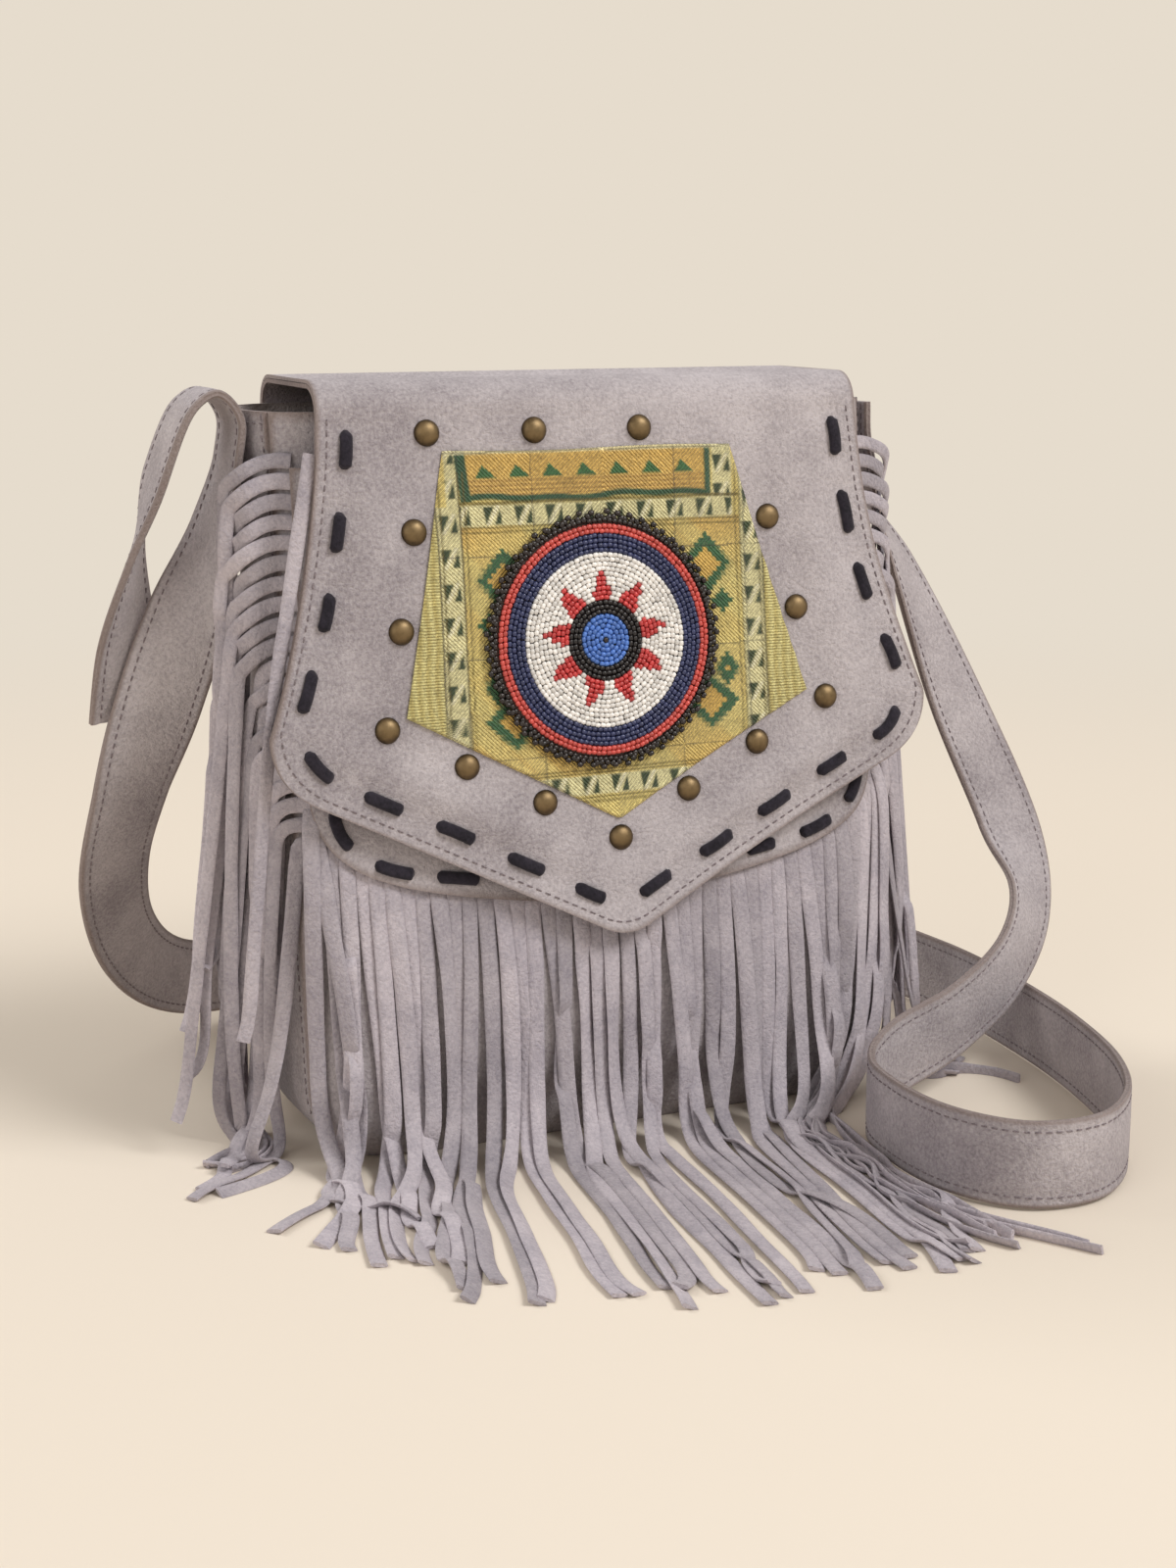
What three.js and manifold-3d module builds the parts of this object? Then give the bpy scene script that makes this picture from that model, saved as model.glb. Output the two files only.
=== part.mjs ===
// Fringed suede crossbody bag with a laced flap, an embroidered patch and a bead medallion.
// Millimetres, +Z up. The bag stands on its base, the origin is the base's centre on the ground,
// the flap faces -Y and +X is to the right of someone who looks at the flap.

import * as THREE from 'three';
import { mergeVertices } from 'three/addons/utils/BufferGeometryUtils.js';
import Module from 'manifold-3d';

const wasm = await Module();
wasm.setup();

// Bag body
const BODY_WIDTH = 224;
const BODY_HEIGHT = 256;
const BASE_DEPTH = 90;
const TOP_DEPTH = 54;
const BACK_LEAN = THREE.MathUtils.degToRad(1);
const PANEL_THICKNESS = 1.6;
const BASE_CORNER_RADIUS = 26;
const GUSSET_BOW = 5;
const GUSSET_HEM_HEIGHT = 14;
const GUSSET_HEM_THICKNESS = 1.2;
const LINING_THICKNESS = 0.8;
const LINING_DROP = 3;

// Suede trim on the front
const SUEDE_THICKNESS = 1.2;
const LACE_WIDTH = 4.4;
const LACE_THICKNESS = 0.9;
const LACE_RAMP = 3;
const LACE_DASH = 15;
const LACE_TUCK = 0.5;
const SLIT_LENGTH = 4.4;
const YOKE_SIDE_MARGIN = 4;
const YOKE_SIDE_DROP = 128;
const YOKE_MID_DROP = 172;
const YOKE_TOP_DROP = 18;
const YOKE_LACE_INSET = 7;
const YOKE_STITCHES = 10;

// Fringe
const STRAND_WIDTH = 3.5;
const STRAND_THICKNESS = 0.9;
const STRAND_PITCH = 6;
const FRONT_STRAND_LENGTH = 218;
const SIDE_STRAND_LENGTH = 190;
const SIDE_FRINGE_TOP_DROP = 16;
const SIDE_FRINGE_LOW_DROP = 116;
const SIDE_REACH = [14, 22];
const HEADER_DEPTH = 12;
const HEADER_THICKNESS = 1;
const HANGING_SPREAD = [12, -24];
const GROUND_SPREAD = [12, -46];
const GROUND_BEND_SHARE = 0.31;

// Flap
const FLAP_TIP_DROP = 183;
const FLAP_EDGE_SLOPE = 0.5;
const FLAP_LOW_OVERHANG = 12;
const FLAP_TOP_MARGIN = 11;
const FLAP_CORNER_RADIUS = 16;
const FLAP_TIP_RADIUS = 9;
const FLAP_FOLD_RADIUS = 1;
const FACING_THICKNESS = 2.2;
const FACING_SKIN = 0.7;
const FACING_RIM = 6;
const FLAP_LACE_INSET = 10;
const FLAP_STITCHES = 18;

// Patch, medallion, studs and snap
const PATCH_TOP_WIDTH = 107;
const PATCH_TOP_SHIFT = -4.5;
const PATCH_LOW_WIDTH = 152;
const PATCH_TOP_DROP = 13.5;
const PATCH_LOW_DROP = 101.5;
const PATCH_TIP_DROP = 141;
const PATCH_THICKNESS = 0.8;
const STUD_RADIUS = 4.5;
const STUD_DOME = 2.6;
const STUD_POST_RADIUS = 1.1;
const STUD_PLATE_RADIUS = 2.4;
const STUD_PLATE_THICKNESS = 0.6;
const STUD_OFFSET = 6.3;
const MEDALLION_SHIFT = -3;
const MEDALLION_DROP = 79;
const BACKING_RADIUS = 41;
const BACKING_THICKNESS = 0.8;
const BEAD_HEIGHT = 1.8;
const BLUE_RADIUS = 8.4;
const BLACK_RADIUS = 13.2;
const WHITE_RADIUS = 29.2;
const NAVY_RADIUS = 36.4;
const RED_RADIUS = 40;
const STAR_POINTS = 9;
const STAR_TIP_RADIUS = 24.5;
const STAR_VALLEY_RADIUS = 15.5;
const PICOT_LOOPS = 26;
const PICOT_REACH = 3.6;
const PICOT_ROOT = 0.9;
const SNAP_DROP = 152;
const SNAP_RADIUS = 8;
const SNAP_KNOB_RADIUS = 2.8;
const SNAP_KNOB_CLEARANCE = 1;
const SNAP_SOCKET_THICKNESS = 1.3;
const SNAP_PLATE_THICKNESS = 0.8;

// Strap
const STRAP_WIDTH = 30;
const STRAP_THICKNESS = 2.8;
const STRAP_STEPS = 66;
const STRAP_GROUND_GAP = 1;

// Clearance between pieces that lie on each other
const GAP = 0.3;

// Values that follow from the driving dimensions
const HALF_WIDTH = BODY_WIDTH / 2;
const FRONT_LEAN = Math.atan((BASE_DEPTH - TOP_DEPTH) / BODY_HEIGHT - Math.tan(BACK_LEAN));
const FRONT_COS = Math.cos(FRONT_LEAN);
const FRONT_SIN = Math.sin(FRONT_LEAN);
const YOKE_HALF_WIDTH = HALF_WIDTH - YOKE_SIDE_MARGIN;
const YOKE_SIDE_HEIGHT = BODY_HEIGHT - YOKE_SIDE_DROP;
const YOKE_MID_HEIGHT = BODY_HEIGHT - YOKE_MID_DROP;
const SIDE_FRINGE_TOP = BODY_HEIGHT - SIDE_FRINGE_TOP_DROP;
const SIDE_FRINGE_LOW = BODY_HEIGHT - SIDE_FRINGE_LOW_DROP;
const HANGING_LANES = [-HALF_WIDTH - HANGING_SPREAD[0], HALF_WIDTH + HANGING_SPREAD[1]];
const GROUND_LANES = [-HALF_WIDTH - GROUND_SPREAD[0], HALF_WIDTH + GROUND_SPREAD[1]];
const GROUND_BEND = GROUND_BEND_SHARE * YOKE_MID_HEIGHT;
const FLAP_TIP_HEIGHT = BODY_HEIGHT - FLAP_TIP_DROP;
const FLAP_LOW_HALF_WIDTH = HALF_WIDTH + FLAP_LOW_OVERHANG;
const FLAP_TOP_HALF_WIDTH = HALF_WIDTH - FLAP_TOP_MARGIN;
const PATCH_TOP_HEIGHT = BODY_HEIGHT - PATCH_TOP_DROP;
const PATCH_LOW_HEIGHT = BODY_HEIGHT - PATCH_LOW_DROP;
const PATCH_TIP_HEIGHT = BODY_HEIGHT - PATCH_TIP_DROP;
const MEDALLION_HEIGHT = BODY_HEIGHT - MEDALLION_DROP;
const SNAP_HEIGHT = BODY_HEIGHT - SNAP_DROP;

// Layers in front of the front panel, as distances from its outer face
const HEADER_FROM = GAP;
const HEADER_TO = HEADER_FROM + HEADER_THICKNESS;
const YOKE_LACE_UNDER = HEADER_TO + GAP + LACE_THICKNESS / 2;
const YOKE_FROM = YOKE_LACE_UNDER + LACE_THICKNESS / 2 + GAP;
const YOKE_TO = YOKE_FROM + SUEDE_THICKNESS;
const YOKE_LACE_OVER = YOKE_TO + GAP + LACE_THICKNESS / 2;
const SOCKET_FROM = YOKE_TO + GAP;
const SOCKET_TO = SOCKET_FROM + SNAP_SOCKET_THICKNESS;
const SNAP_PLATE_FROM = SOCKET_TO + GAP;
const SNAP_PLATE_TO = SNAP_PLATE_FROM + SNAP_PLATE_THICKNESS;
const FACING_FROM = SNAP_PLATE_TO + GAP;
const FACING_TO = FACING_FROM + FACING_THICKNESS;
const FLAP_LACE_UNDER = FACING_FROM + FACING_SKIN + GAP + LACE_THICKNESS / 2;
const FLAP_FROM = FACING_TO + GAP;
const FLAP_TO = FLAP_FROM + SUEDE_THICKNESS;
const FLAP_LACE_OVER = FLAP_TO + GAP + LACE_THICKNESS / 2;
const PATCH_FROM = FLAP_TO + GAP;
const PATCH_TO = PATCH_FROM + PATCH_THICKNESS;
const BACKING_FROM = PATCH_TO + GAP;
const BACKING_TO = BACKING_FROM + BACKING_THICKNESS;
const BEADS_FROM = BACKING_TO + GAP;
const BEADS_TO = BEADS_FROM + BEAD_HEIGHT;

// Finishes, as colour, roughness and metalness
const SUEDE = [0xa7a2a6, 0.95, 0];
const SUEDE_DARK = [0x8f8a90, 0.95, 0];
const LACE_BLACK = [0x1c1c24, 0.85, 0];
const COTTON = [0xb9a888, 0.95, 0];
const EMBROIDERY = [0xb89b2e, 0.9, 0];
const FELT = [0x2b2420, 0.95, 0];
const BEAD_BLUE = [0x3f62b5, 0.3, 0];
const BEAD_BLACK = [0x231a18, 0.3, 0];
const BEAD_RED = [0xc4483a, 0.3, 0];
const BEAD_WHITE = [0xe6e3dc, 0.3, 0];
const BEAD_NAVY = [0x343a66, 0.3, 0];
const BRASS = [0x8a6a35, 0.4, 1];

// A named mesh with a material of its own
function piece(name, geometry, [color, roughness, metalness]) {
  const material = new THREE.MeshStandardMaterial({ color, roughness, metalness });
  const mesh = new THREE.Mesh(geometry, material);
  mesh.name = name;
  return mesh;
}

// A closed geometry as a solid for joins and cuts
function solid(geometry) {
  const bare = geometry.clone();
  for (const attribute of Object.keys(bare.attributes)) {
    if (attribute !== 'position') bare.deleteAttribute(attribute);
  }
  const merged = mergeVertices(bare);
  return new wasm.Manifold(new wasm.Mesh({
    numProp: 3,
    vertProperties: merged.attributes.position.array,
    triVerts: new Uint32Array(merged.index.array),
  }));
}

// A solid back as a geometry
function geometryOf(body) {
  const mesh = body.getMesh();
  const geometry = new THREE.BufferGeometry();
  geometry.setAttribute('position', new THREE.BufferAttribute(mesh.vertProperties, 3));
  geometry.setIndex(new THREE.BufferAttribute(mesh.triVerts, 1));
  return geometry;
}

function union(bodies) {
  return bodies.reduce((joined, body) => joined.add(body));
}

// A flat outline given a thickness, from one height to another along local Z
function plate(shape, from, to, curveSegments = 6) {
  const depth = to - from;
  const geometry = new THREE.ExtrudeGeometry(shape, { depth, bevelEnabled: false, curveSegments });
  return geometry.translate(0, 0, from);
}

// A closed skin between an outer and an inner grid of points, rows by columns
function shell(outer, inner) {
  const rows = outer.length;
  const columns = outer[0].length;
  const positions = [];
  const index = [];
  for (const grid of [outer, inner]) {
    for (const row of grid) {
      for (const point of row) positions.push(...point);
    }
  }
  const at = (side, row, column) => side * rows * columns + row * columns + column;
  const quad = (a, b, c, d) => index.push(a, b, c, a, c, d);
  for (let row = 0; row + 1 < rows; row += 1) {
    for (let column = 0; column + 1 < columns; column += 1) {
      quad(at(0, row, column), at(0, row, column + 1), at(0, row + 1, column + 1), at(0, row + 1, column));
      quad(at(1, row, column), at(1, row + 1, column), at(1, row + 1, column + 1), at(1, row, column + 1));
    }
    const last = columns - 1;
    quad(at(0, row, 0), at(0, row + 1, 0), at(1, row + 1, 0), at(1, row, 0));
    quad(at(0, row, last), at(1, row, last), at(1, row + 1, last), at(0, row + 1, last));
  }
  for (let column = 0; column + 1 < columns; column += 1) {
    const last = rows - 1;
    quad(at(0, 0, column), at(1, 0, column), at(1, 0, column + 1), at(0, 0, column + 1));
    quad(at(0, last, column), at(0, last, column + 1), at(1, last, column + 1), at(1, last, column));
  }
  const geometry = new THREE.BufferGeometry();
  geometry.setAttribute('position', new THREE.Float32BufferAttribute(positions, 3));
  geometry.setIndex(index);
  return geometry;
}

// A flat band through stations, each with its centre, its width direction and its thickness direction
function band(stations, width, thickness) {
  const corner = ({ centre, across, out }, side, face) => centre.clone()
    .addScaledVector(across, side * width / 2)
    .addScaledVector(out, face * thickness / 2)
    .toArray();
  const sheet = (face) => stations.map((station) => [-1, 1].map((side) => corner(station, side, face)));
  return shell(sheet(1), sheet(-1));
}

// Stations along joined curves, each with its own number of steps; the face is carried without twist
function carriedStations(runs, firstFace) {
  let out = firstFace.clone();
  const stations = [];
  runs.forEach(([curve, steps], run) => {
    for (let step = run === 0 ? 0 : 1; step <= steps; step += 1) {
      const centre = curve.getPoint(step / steps);
      const along = curve.getTangent(step / steps);
      out = out.clone().addScaledVector(along, -out.dot(along)).normalize();
      stations.push({ centre, across: new THREE.Vector3().crossVectors(along, out), out });
    }
  });
  return stations;
}

// How far towards its corner a curve is pulled to follow a quarter of a circle
const ARC_PULL = 0.5523;

// A polygon of [x, y, corner radius], with each square corner rounded by an arc
function roundedPath(corners, path) {
  corners.forEach(([x, y, radius = 0], place) => {
    const corner = new THREE.Vector2(x, y);
    if (radius === 0) {
      if (place === 0) path.moveTo(x, y);
      else path.lineTo(x, y);
      return;
    }
    const before = new THREE.Vector2(...corners[place - 1]).sub(corner).setLength(radius).add(corner);
    const after = new THREE.Vector2(...corners[place + 1]).sub(corner).setLength(radius).add(corner);
    const pull = (end) => end.clone().lerp(corner, ARC_PULL);
    path.lineTo(before.x, before.y);
    path.bezierCurveTo(...pull(before), ...pull(after), ...after);
  });
  return path;
}

// The front panel's face: local X across, local Y up the lean, local Z outwards
const frontFace = new THREE.Group();
frontFace.rotation.x = Math.PI / 2 - FRONT_LEAN;
frontFace.position.y = -BASE_DEPTH / 2;
frontFace.updateMatrixWorld();

// The distance up the leaned face of a point at a height above ground and a distance from the face
function upFace(height, out) {
  return (height - out * FRONT_SIN) / FRONT_COS;
}

function faceToBag(across, height, out) {
  return new THREE.Vector3(across, upFace(height, out), out).applyMatrix4(frontFace.matrixWorld);
}

const FRONT_NORMAL = new THREE.Vector3(0, -FRONT_COS, FRONT_SIN);

// Front and back panels: straight sides and rounded lower corners
function panelShape(foot, top) {
  const shape = new THREE.Shape();
  roundedPath([
    [-HALF_WIDTH, top],
    [-HALF_WIDTH, foot, BASE_CORNER_RADIUS],
    [HALF_WIDTH, foot, BASE_CORNER_RADIUS],
    [HALF_WIDTH, top],
  ], shape);
  return shape;
}

function frontPanel() {
  const foot = PANEL_THICKNESS * Math.tan(FRONT_LEAN);
  const shape = panelShape(foot, BODY_HEIGHT / FRONT_COS);
  return piece('front_panel', plate(shape, -PANEL_THICKNESS, 0), SUEDE);
}

// The back panel rises to the flap's level, where the flap is hinged on its upper edge
const HINGE_HEIGHT = BODY_HEIGHT + FACING_FROM - GAP;
const HINGE_DEPTH = BASE_DEPTH / 2 - HINGE_HEIGHT * Math.tan(BACK_LEAN);

function backPanel() {
  const foot = PANEL_THICKNESS * Math.tan(BACK_LEAN);
  const shape = panelShape(foot, HINGE_HEIGHT / Math.cos(BACK_LEAN));
  const face = new THREE.Group();
  face.rotation.set(BACK_LEAN - Math.PI / 2, 0, Math.PI);
  face.position.y = BASE_DEPTH / 2;
  face.add(piece('back_panel', plate(shape, -PANEL_THICKNESS, 0), SUEDE));
  return face;
}

// The inner faces of the two panels at a height, drawn in by a distance
function frontInside(height, inset) {
  return -BASE_DEPTH / 2 + height * Math.tan(FRONT_LEAN) + (PANEL_THICKNESS + inset) / FRONT_COS;
}

function backInside(height, inset) {
  const inwards = (PANEL_THICKNESS + inset) / Math.cos(BACK_LEAN);
  return BASE_DEPTH / 2 - height * Math.tan(BACK_LEAN) - inwards;
}

// The gusset: one strip down the left side, under the base and up the right side.
// Its sides bow outwards towards the top, and a hem stiffens each upper edge.
function gusset() {
  const arcSteps = 4;
  const depthSteps = 6;
  const side = [];
  const hemFoot = BODY_HEIGHT - GUSSET_HEM_HEIGHT;
  side.push([HALF_WIDTH, BODY_HEIGHT, 1, 0, GUSSET_HEM_THICKNESS]);
  side.push([HALF_WIDTH, hemFoot, 1, 0, GUSSET_HEM_THICKNESS]);
  side.push([HALF_WIDTH, hemFoot - GAP, 1, 0, 0]);
  side.push([HALF_WIDTH, BODY_HEIGHT / 2, 1, 0, 0]);
  for (let step = 0; step <= arcSteps; step += 1) {
    const angle = (step / arcSteps) * Math.PI / 2;
    const reach = HALF_WIDTH - BASE_CORNER_RADIUS;
    side.push([
      reach + BASE_CORNER_RADIUS * Math.cos(angle),
      BASE_CORNER_RADIUS * (1 - Math.sin(angle)),
      Math.cos(angle),
      -Math.sin(angle),
      0,
    ]);
  }
  const mirrored = side.map(([x, z, nx, nz, hem]) => [-x, z, -nx, nz, hem]);
  const route = [...mirrored, ...side.reverse()];
  const grid = (inset) => route.map(([x, z, nx, nz, hem]) => (
    Array.from({ length: depthSteps + 1 }, (_, step) => {
      const share = step / depthSteps;
      const swell = THREE.MathUtils.smoothstep(z, BODY_HEIGHT / 3, BODY_HEIGHT);
      const out = GUSSET_BOW * swell * 4 * share * (1 - share) + (inset > 0 ? 0 : hem) - inset;
      const height = z + nz * out;
      const front = frontInside(height, GAP);
      const depth = front + (backInside(height, GAP) - front) * share;
      return [x + nx * out, depth, height];
    })
  ));
  return piece('gusset', shell(grid(0), grid(PANEL_THICKNESS)), SUEDE);
}

// The space inside the body, drawn in from every wall and open at the top
function bagSpace(inset, top) {
  const width = HALF_WIDTH - PANEL_THICKNESS - inset;
  const foot = PANEL_THICKNESS + inset;
  const front = new THREE.Shape();
  roundedPath([
    [-width, top],
    [-width, foot, BASE_CORNER_RADIUS],
    [width, foot, BASE_CORNER_RADIUS],
    [width, top],
  ], front);
  const seenFromFront = plate(front, -BASE_DEPTH, BASE_DEPTH).rotateX(Math.PI / 2);
  const wedge = new THREE.Shape([
    new THREE.Vector2(frontInside(0, inset), 0),
    new THREE.Vector2(backInside(0, inset), 0),
    new THREE.Vector2(backInside(top, inset), top),
    new THREE.Vector2(frontInside(top, inset), top),
  ]);
  const seenFromSide = plate(wedge, -BODY_WIDTH, BODY_WIDTH)
    .rotateX(Math.PI / 2)
    .rotateZ(Math.PI / 2);
  return solid(seenFromFront).intersect(solid(seenFromSide));
}

function lining() {
  const pouch = bagSpace(GAP, BODY_HEIGHT - LINING_DROP);
  const hollow = bagSpace(GAP + LINING_THICKNESS, BODY_HEIGHT);
  return piece('lining', geometryOf(pouch.subtract(hollow)), COTTON);
}

// The yoke's curved lower edge, from its left side to its right side, drawn in by a distance
function yokeEdge(inset, path) {
  const side = YOKE_HALF_WIDTH - inset;
  const low = YOKE_MID_HEIGHT + inset;
  const shoulder = 0.64 * (YOKE_SIDE_HEIGHT - YOKE_MID_HEIGHT);
  const cheek = 0.74 * side;
  const cheekRise = 0.18 * (YOKE_SIDE_HEIGHT - YOKE_MID_HEIGHT);
  path.moveTo(-side, YOKE_SIDE_HEIGHT);
  path.bezierCurveTo(-side, YOKE_SIDE_HEIGHT - shoulder, -cheek, low + cheekRise, 0, low);
  path.bezierCurveTo(cheek, low + cheekRise, side, YOKE_SIDE_HEIGHT - shoulder, side, YOKE_SIDE_HEIGHT);
  return path;
}

// The middles of a lace's stitches along an edge: evenly spaced, with short ends tucked under
function stitchMiddles(length, stitches) {
  const lead = LACE_DASH / 2 + LACE_RAMP + LACE_TUCK;
  const pitch = (length - 2 * lead) / (stitches - 1);
  return Array.from({ length: stitches }, (_, stitch) => lead + stitch * pitch);
}

// A lace that runs along an edge, over the suede in dashes and under it between them
function laceStations(edge, stitches, under, over) {
  const length = edge.getLength();
  const middles = stitchMiddles(length, stitches);
  const half = LACE_DASH / 2;
  const marks = [[0, under]];
  middles.forEach((middle, stitch) => {
    if (stitch > 0) marks.push([(middles[stitch - 1] + middle) / 2, under]);
    marks.push([middle - half - LACE_RAMP, under]);
    marks.push([middle - half, over]);
    marks.push([middle + half, over]);
    marks.push([middle + half + LACE_RAMP, under]);
  });
  marks.push([length, under]);
  return marks.map(([run, out]) => {
    const point = edge.getPointAt(run / length);
    const along = edge.getTangentAt(run / length);
    return {
      centre: new THREE.Vector3(point.x, upFace(point.y, out), out),
      across: new THREE.Vector3(along.y, -along.x, 0),
      out: new THREE.Vector3(0, 0, 1),
    };
  });
}

// The slits that a lace dips through, as blocks to cut from the suede
function laceSlits(edge, stitches, from, to) {
  const length = edge.getLength();
  const slits = [];
  for (const middle of stitchMiddles(length, stitches)) {
    for (const end of [-1, 1]) {
      const run = middle + end * (LACE_DASH + LACE_RAMP) / 2;
      const point = edge.getPointAt(run / length);
      const along = edge.getTangentAt(run / length);
      const slit = new THREE.BoxGeometry(SLIT_LENGTH, LACE_WIDTH + 2 * GAP, to - from + 2);
      slit.rotateZ(Math.atan2(along.y, along.x));
      slit.translate(point.x, upFace(point.y, (from + to) / 2), (from + to) / 2);
      slits.push(solid(slit));
    }
  }
  return union(slits);
}

function frontYoke() {
  const shape = yokeEdge(0, new THREE.Shape());
  const top = BODY_HEIGHT - YOKE_TOP_DROP;
  shape.lineTo(YOKE_HALF_WIDTH, top);
  shape.lineTo(-YOKE_HALF_WIDTH, top);
  const lace = yokeEdge(YOKE_LACE_INSET, new THREE.Path());
  const sheet = plate(shape, YOKE_FROM, YOKE_TO, 12);
  const slits = laceSlits(lace, YOKE_STITCHES, YOKE_FROM, YOKE_TO);
  return piece('front_yoke', geometryOf(solid(sheet).subtract(slits)), SUEDE);
}

function yokeLace() {
  const lace = yokeEdge(YOKE_LACE_INSET, new THREE.Path());
  const stations = laceStations(lace, YOKE_STITCHES, YOKE_LACE_UNDER, YOKE_LACE_OVER);
  return piece('yoke_lace', band(stations, LACE_WIDTH, LACE_THICKNESS), LACE_BLACK);
}

// A fringe strip: a header joined with its hanging strands
function fringe(name, header, strands) {
  const cords = strands.map((runs) => {
    return solid(band(carriedStations(runs, FRONT_NORMAL), STRAND_WIDTH, STRAND_THICKNESS));
  });
  const strip = solid(header.applyMatrix4(frontFace.matrixWorld));
  return piece(name, geometryOf(union([strip, ...cords])), SUEDE);
}

const STRAND_OUT = (HEADER_FROM + HEADER_TO) / 2;
const STRAND_HANG = HEADER_TO + 2 * STRAND_THICKNESS;
const GROUND_HEIGHT = GAP + STRAND_THICKNESS / 2;
const STRAND_LEAVE = 12;

// Front strands leave the yoke's edge square to it, hang, and run out over the ground in lanes
function frontStrand(edge, share) {
  const point = edge.getPointAt(share);
  const along = edge.getTangentAt(share);
  const hangLane = THREE.MathUtils.lerp(...HANGING_LANES, share);
  const groundLane = THREE.MathUtils.lerp(...GROUND_LANES, share);
  const leave = (reach) => faceToBag(point.x + along.y * reach, point.y - along.x * reach, STRAND_OUT);
  const hang = faceToBag(hangLane, point.y / 2, STRAND_HANG);
  const hangAbove = faceToBag(hangLane, point.y * 0.7, STRAND_HANG);
  const bendTop = faceToBag(groundLane, GROUND_BEND, STRAND_HANG);
  const bendAbove = faceToBag(groundLane, (GROUND_BEND + point.y / 2) / 2, STRAND_HANG);
  const hangBelow = faceToBag(hangLane, (GROUND_BEND + point.y / 2) / 2, STRAND_HANG);
  const corner = faceToBag(groundLane, GROUND_HEIGHT, STRAND_HANG);
  const bendFoot = new THREE.Vector3(groundLane, corner.y - GROUND_BEND, GROUND_HEIGHT);
  const onGround = FRONT_STRAND_LENGTH - point.y - GROUND_BEND / 2;
  const tip = new THREE.Vector3(groundLane, bendFoot.y - onGround, GROUND_HEIGHT);
  return [
    [new THREE.CubicBezierCurve3(leave(-HEADER_DEPTH / 3), leave(STRAND_LEAVE), hangAbove, hang), 3],
    [new THREE.CubicBezierCurve3(hang, hangBelow, bendAbove, bendTop), 2],
    [new THREE.QuadraticBezierCurve3(bendTop, corner, bendFoot), 2],
    [new THREE.LineCurve3(bendFoot, tip), 1],
  ];
}

function frontFringe() {
  const edge = yokeEdge(0, new THREE.Path());
  const inner = yokeEdge(HEADER_DEPTH, new THREE.Path()).getPoints(10).reverse();
  const header = new THREE.Shape([...yokeEdge(0.5, new THREE.Path()).getPoints(10), ...inner]);
  const count = Math.floor(edge.getLength() / STRAND_PITCH);
  const strands = Array.from({ length: count }, (_, place) => frontStrand(edge, (place + 0.5) / count));
  return fringe('fringe_front', plate(header, HEADER_FROM, HEADER_TO), strands);
}

// Side strands leave the seam sideways, arch over and hang one behind the other beside the gusset
function sideStrand(side, place, count) {
  const share = place / (count - 1);
  const height = THREE.MathUtils.lerp(SIDE_FRINGE_LOW, SIDE_FRINGE_TOP, share);
  const laneStep = STRAND_THICKNESS + 2 * GAP;
  const lane = faceToBag(0, SIDE_FRINGE_LOW, 0).y + laneStep * (place + 1);
  const reach = THREE.MathUtils.lerp(...SIDE_REACH, share);
  const outside = side * (HALF_WIDTH + reach);
  const foot = Math.max(height - (SIDE_STRAND_LENGTH - reach), GROUND_HEIGHT + STRAND_WIDTH);
  const start = faceToBag(side * (HALF_WIDTH - HEADER_DEPTH / 3), height, STRAND_OUT);
  const exit = faceToBag(side * (HALF_WIDTH + STRAND_THICKNESS), height, STRAND_OUT);
  const leave = faceToBag(side * (HALF_WIDTH + reach), height, STRAND_OUT);
  const archAbove = new THREE.Vector3(outside, lane, height - reach / 2);
  const arch = new THREE.Vector3(outside, lane, height - 2 * reach);
  const tip = new THREE.Vector3(outside, lane, foot);
  return [
    [new THREE.LineCurve3(start, exit), 1],
    [new THREE.CubicBezierCurve3(exit, leave, archAbove, arch), 4],
    [new THREE.LineCurve3(arch, tip), 1],
  ];
}

function sideFringe(name, side) {
  const header = new THREE.Shape();
  const inner = side * (HALF_WIDTH - HEADER_DEPTH);
  const outer = side * (HALF_WIDTH - 0.5);
  const low = upFace(SIDE_FRINGE_LOW, 0) - STRAND_WIDTH;
  const top = upFace(SIDE_FRINGE_TOP, 0) + STRAND_WIDTH;
  roundedPath([[inner, low], [outer, low], [outer, top], [inner, top]], header);
  const count = Math.floor((SIDE_FRINGE_TOP - SIDE_FRINGE_LOW) / STRAND_PITCH) + 1;
  const strands = Array.from({ length: count }, (_, place) => sideStrand(side, place, count));
  return fringe(name, plate(header, HEADER_FROM, HEADER_TO), strands);
}

// The flap's free edge seen from the front, from its upper left to its upper right, drawn in
function flapEdge(inset, path, sideTop = BODY_HEIGHT) {
  const slopeCos = Math.cos(Math.atan(FLAP_EDGE_SLOPE));
  const low = FLAP_LOW_HALF_WIDTH - inset;
  const top = FLAP_TOP_HALF_WIDTH - inset;
  const tip = FLAP_TIP_HEIGHT + inset / slopeCos;
  const corner = tip + low * FLAP_EDGE_SLOPE;
  const sideFoot = corner + FLAP_CORNER_RADIUS;
  const waist = [top + 0.12 * (low - top), (sideFoot + sideTop) / 2];
  const run = FLAP_CORNER_RADIUS;
  const tipRun = FLAP_TIP_RADIUS;
  path.moveTo(-top, sideTop);
  path.quadraticCurveTo(-waist[0], waist[1], -low, sideFoot);
  path.quadraticCurveTo(-low, corner, -low + run, corner - run * FLAP_EDGE_SLOPE);
  path.lineTo(-tipRun, tip + tipRun * FLAP_EDGE_SLOPE);
  path.quadraticCurveTo(0, tip, tipRun, tip + tipRun * FLAP_EDGE_SLOPE);
  path.lineTo(low - run, corner - run * FLAP_EDGE_SLOPE);
  path.quadraticCurveTo(low, corner, low, sideFoot);
  path.quadraticCurveTo(waist[0], waist[1], top, sideTop);
  return path;
}

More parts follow.
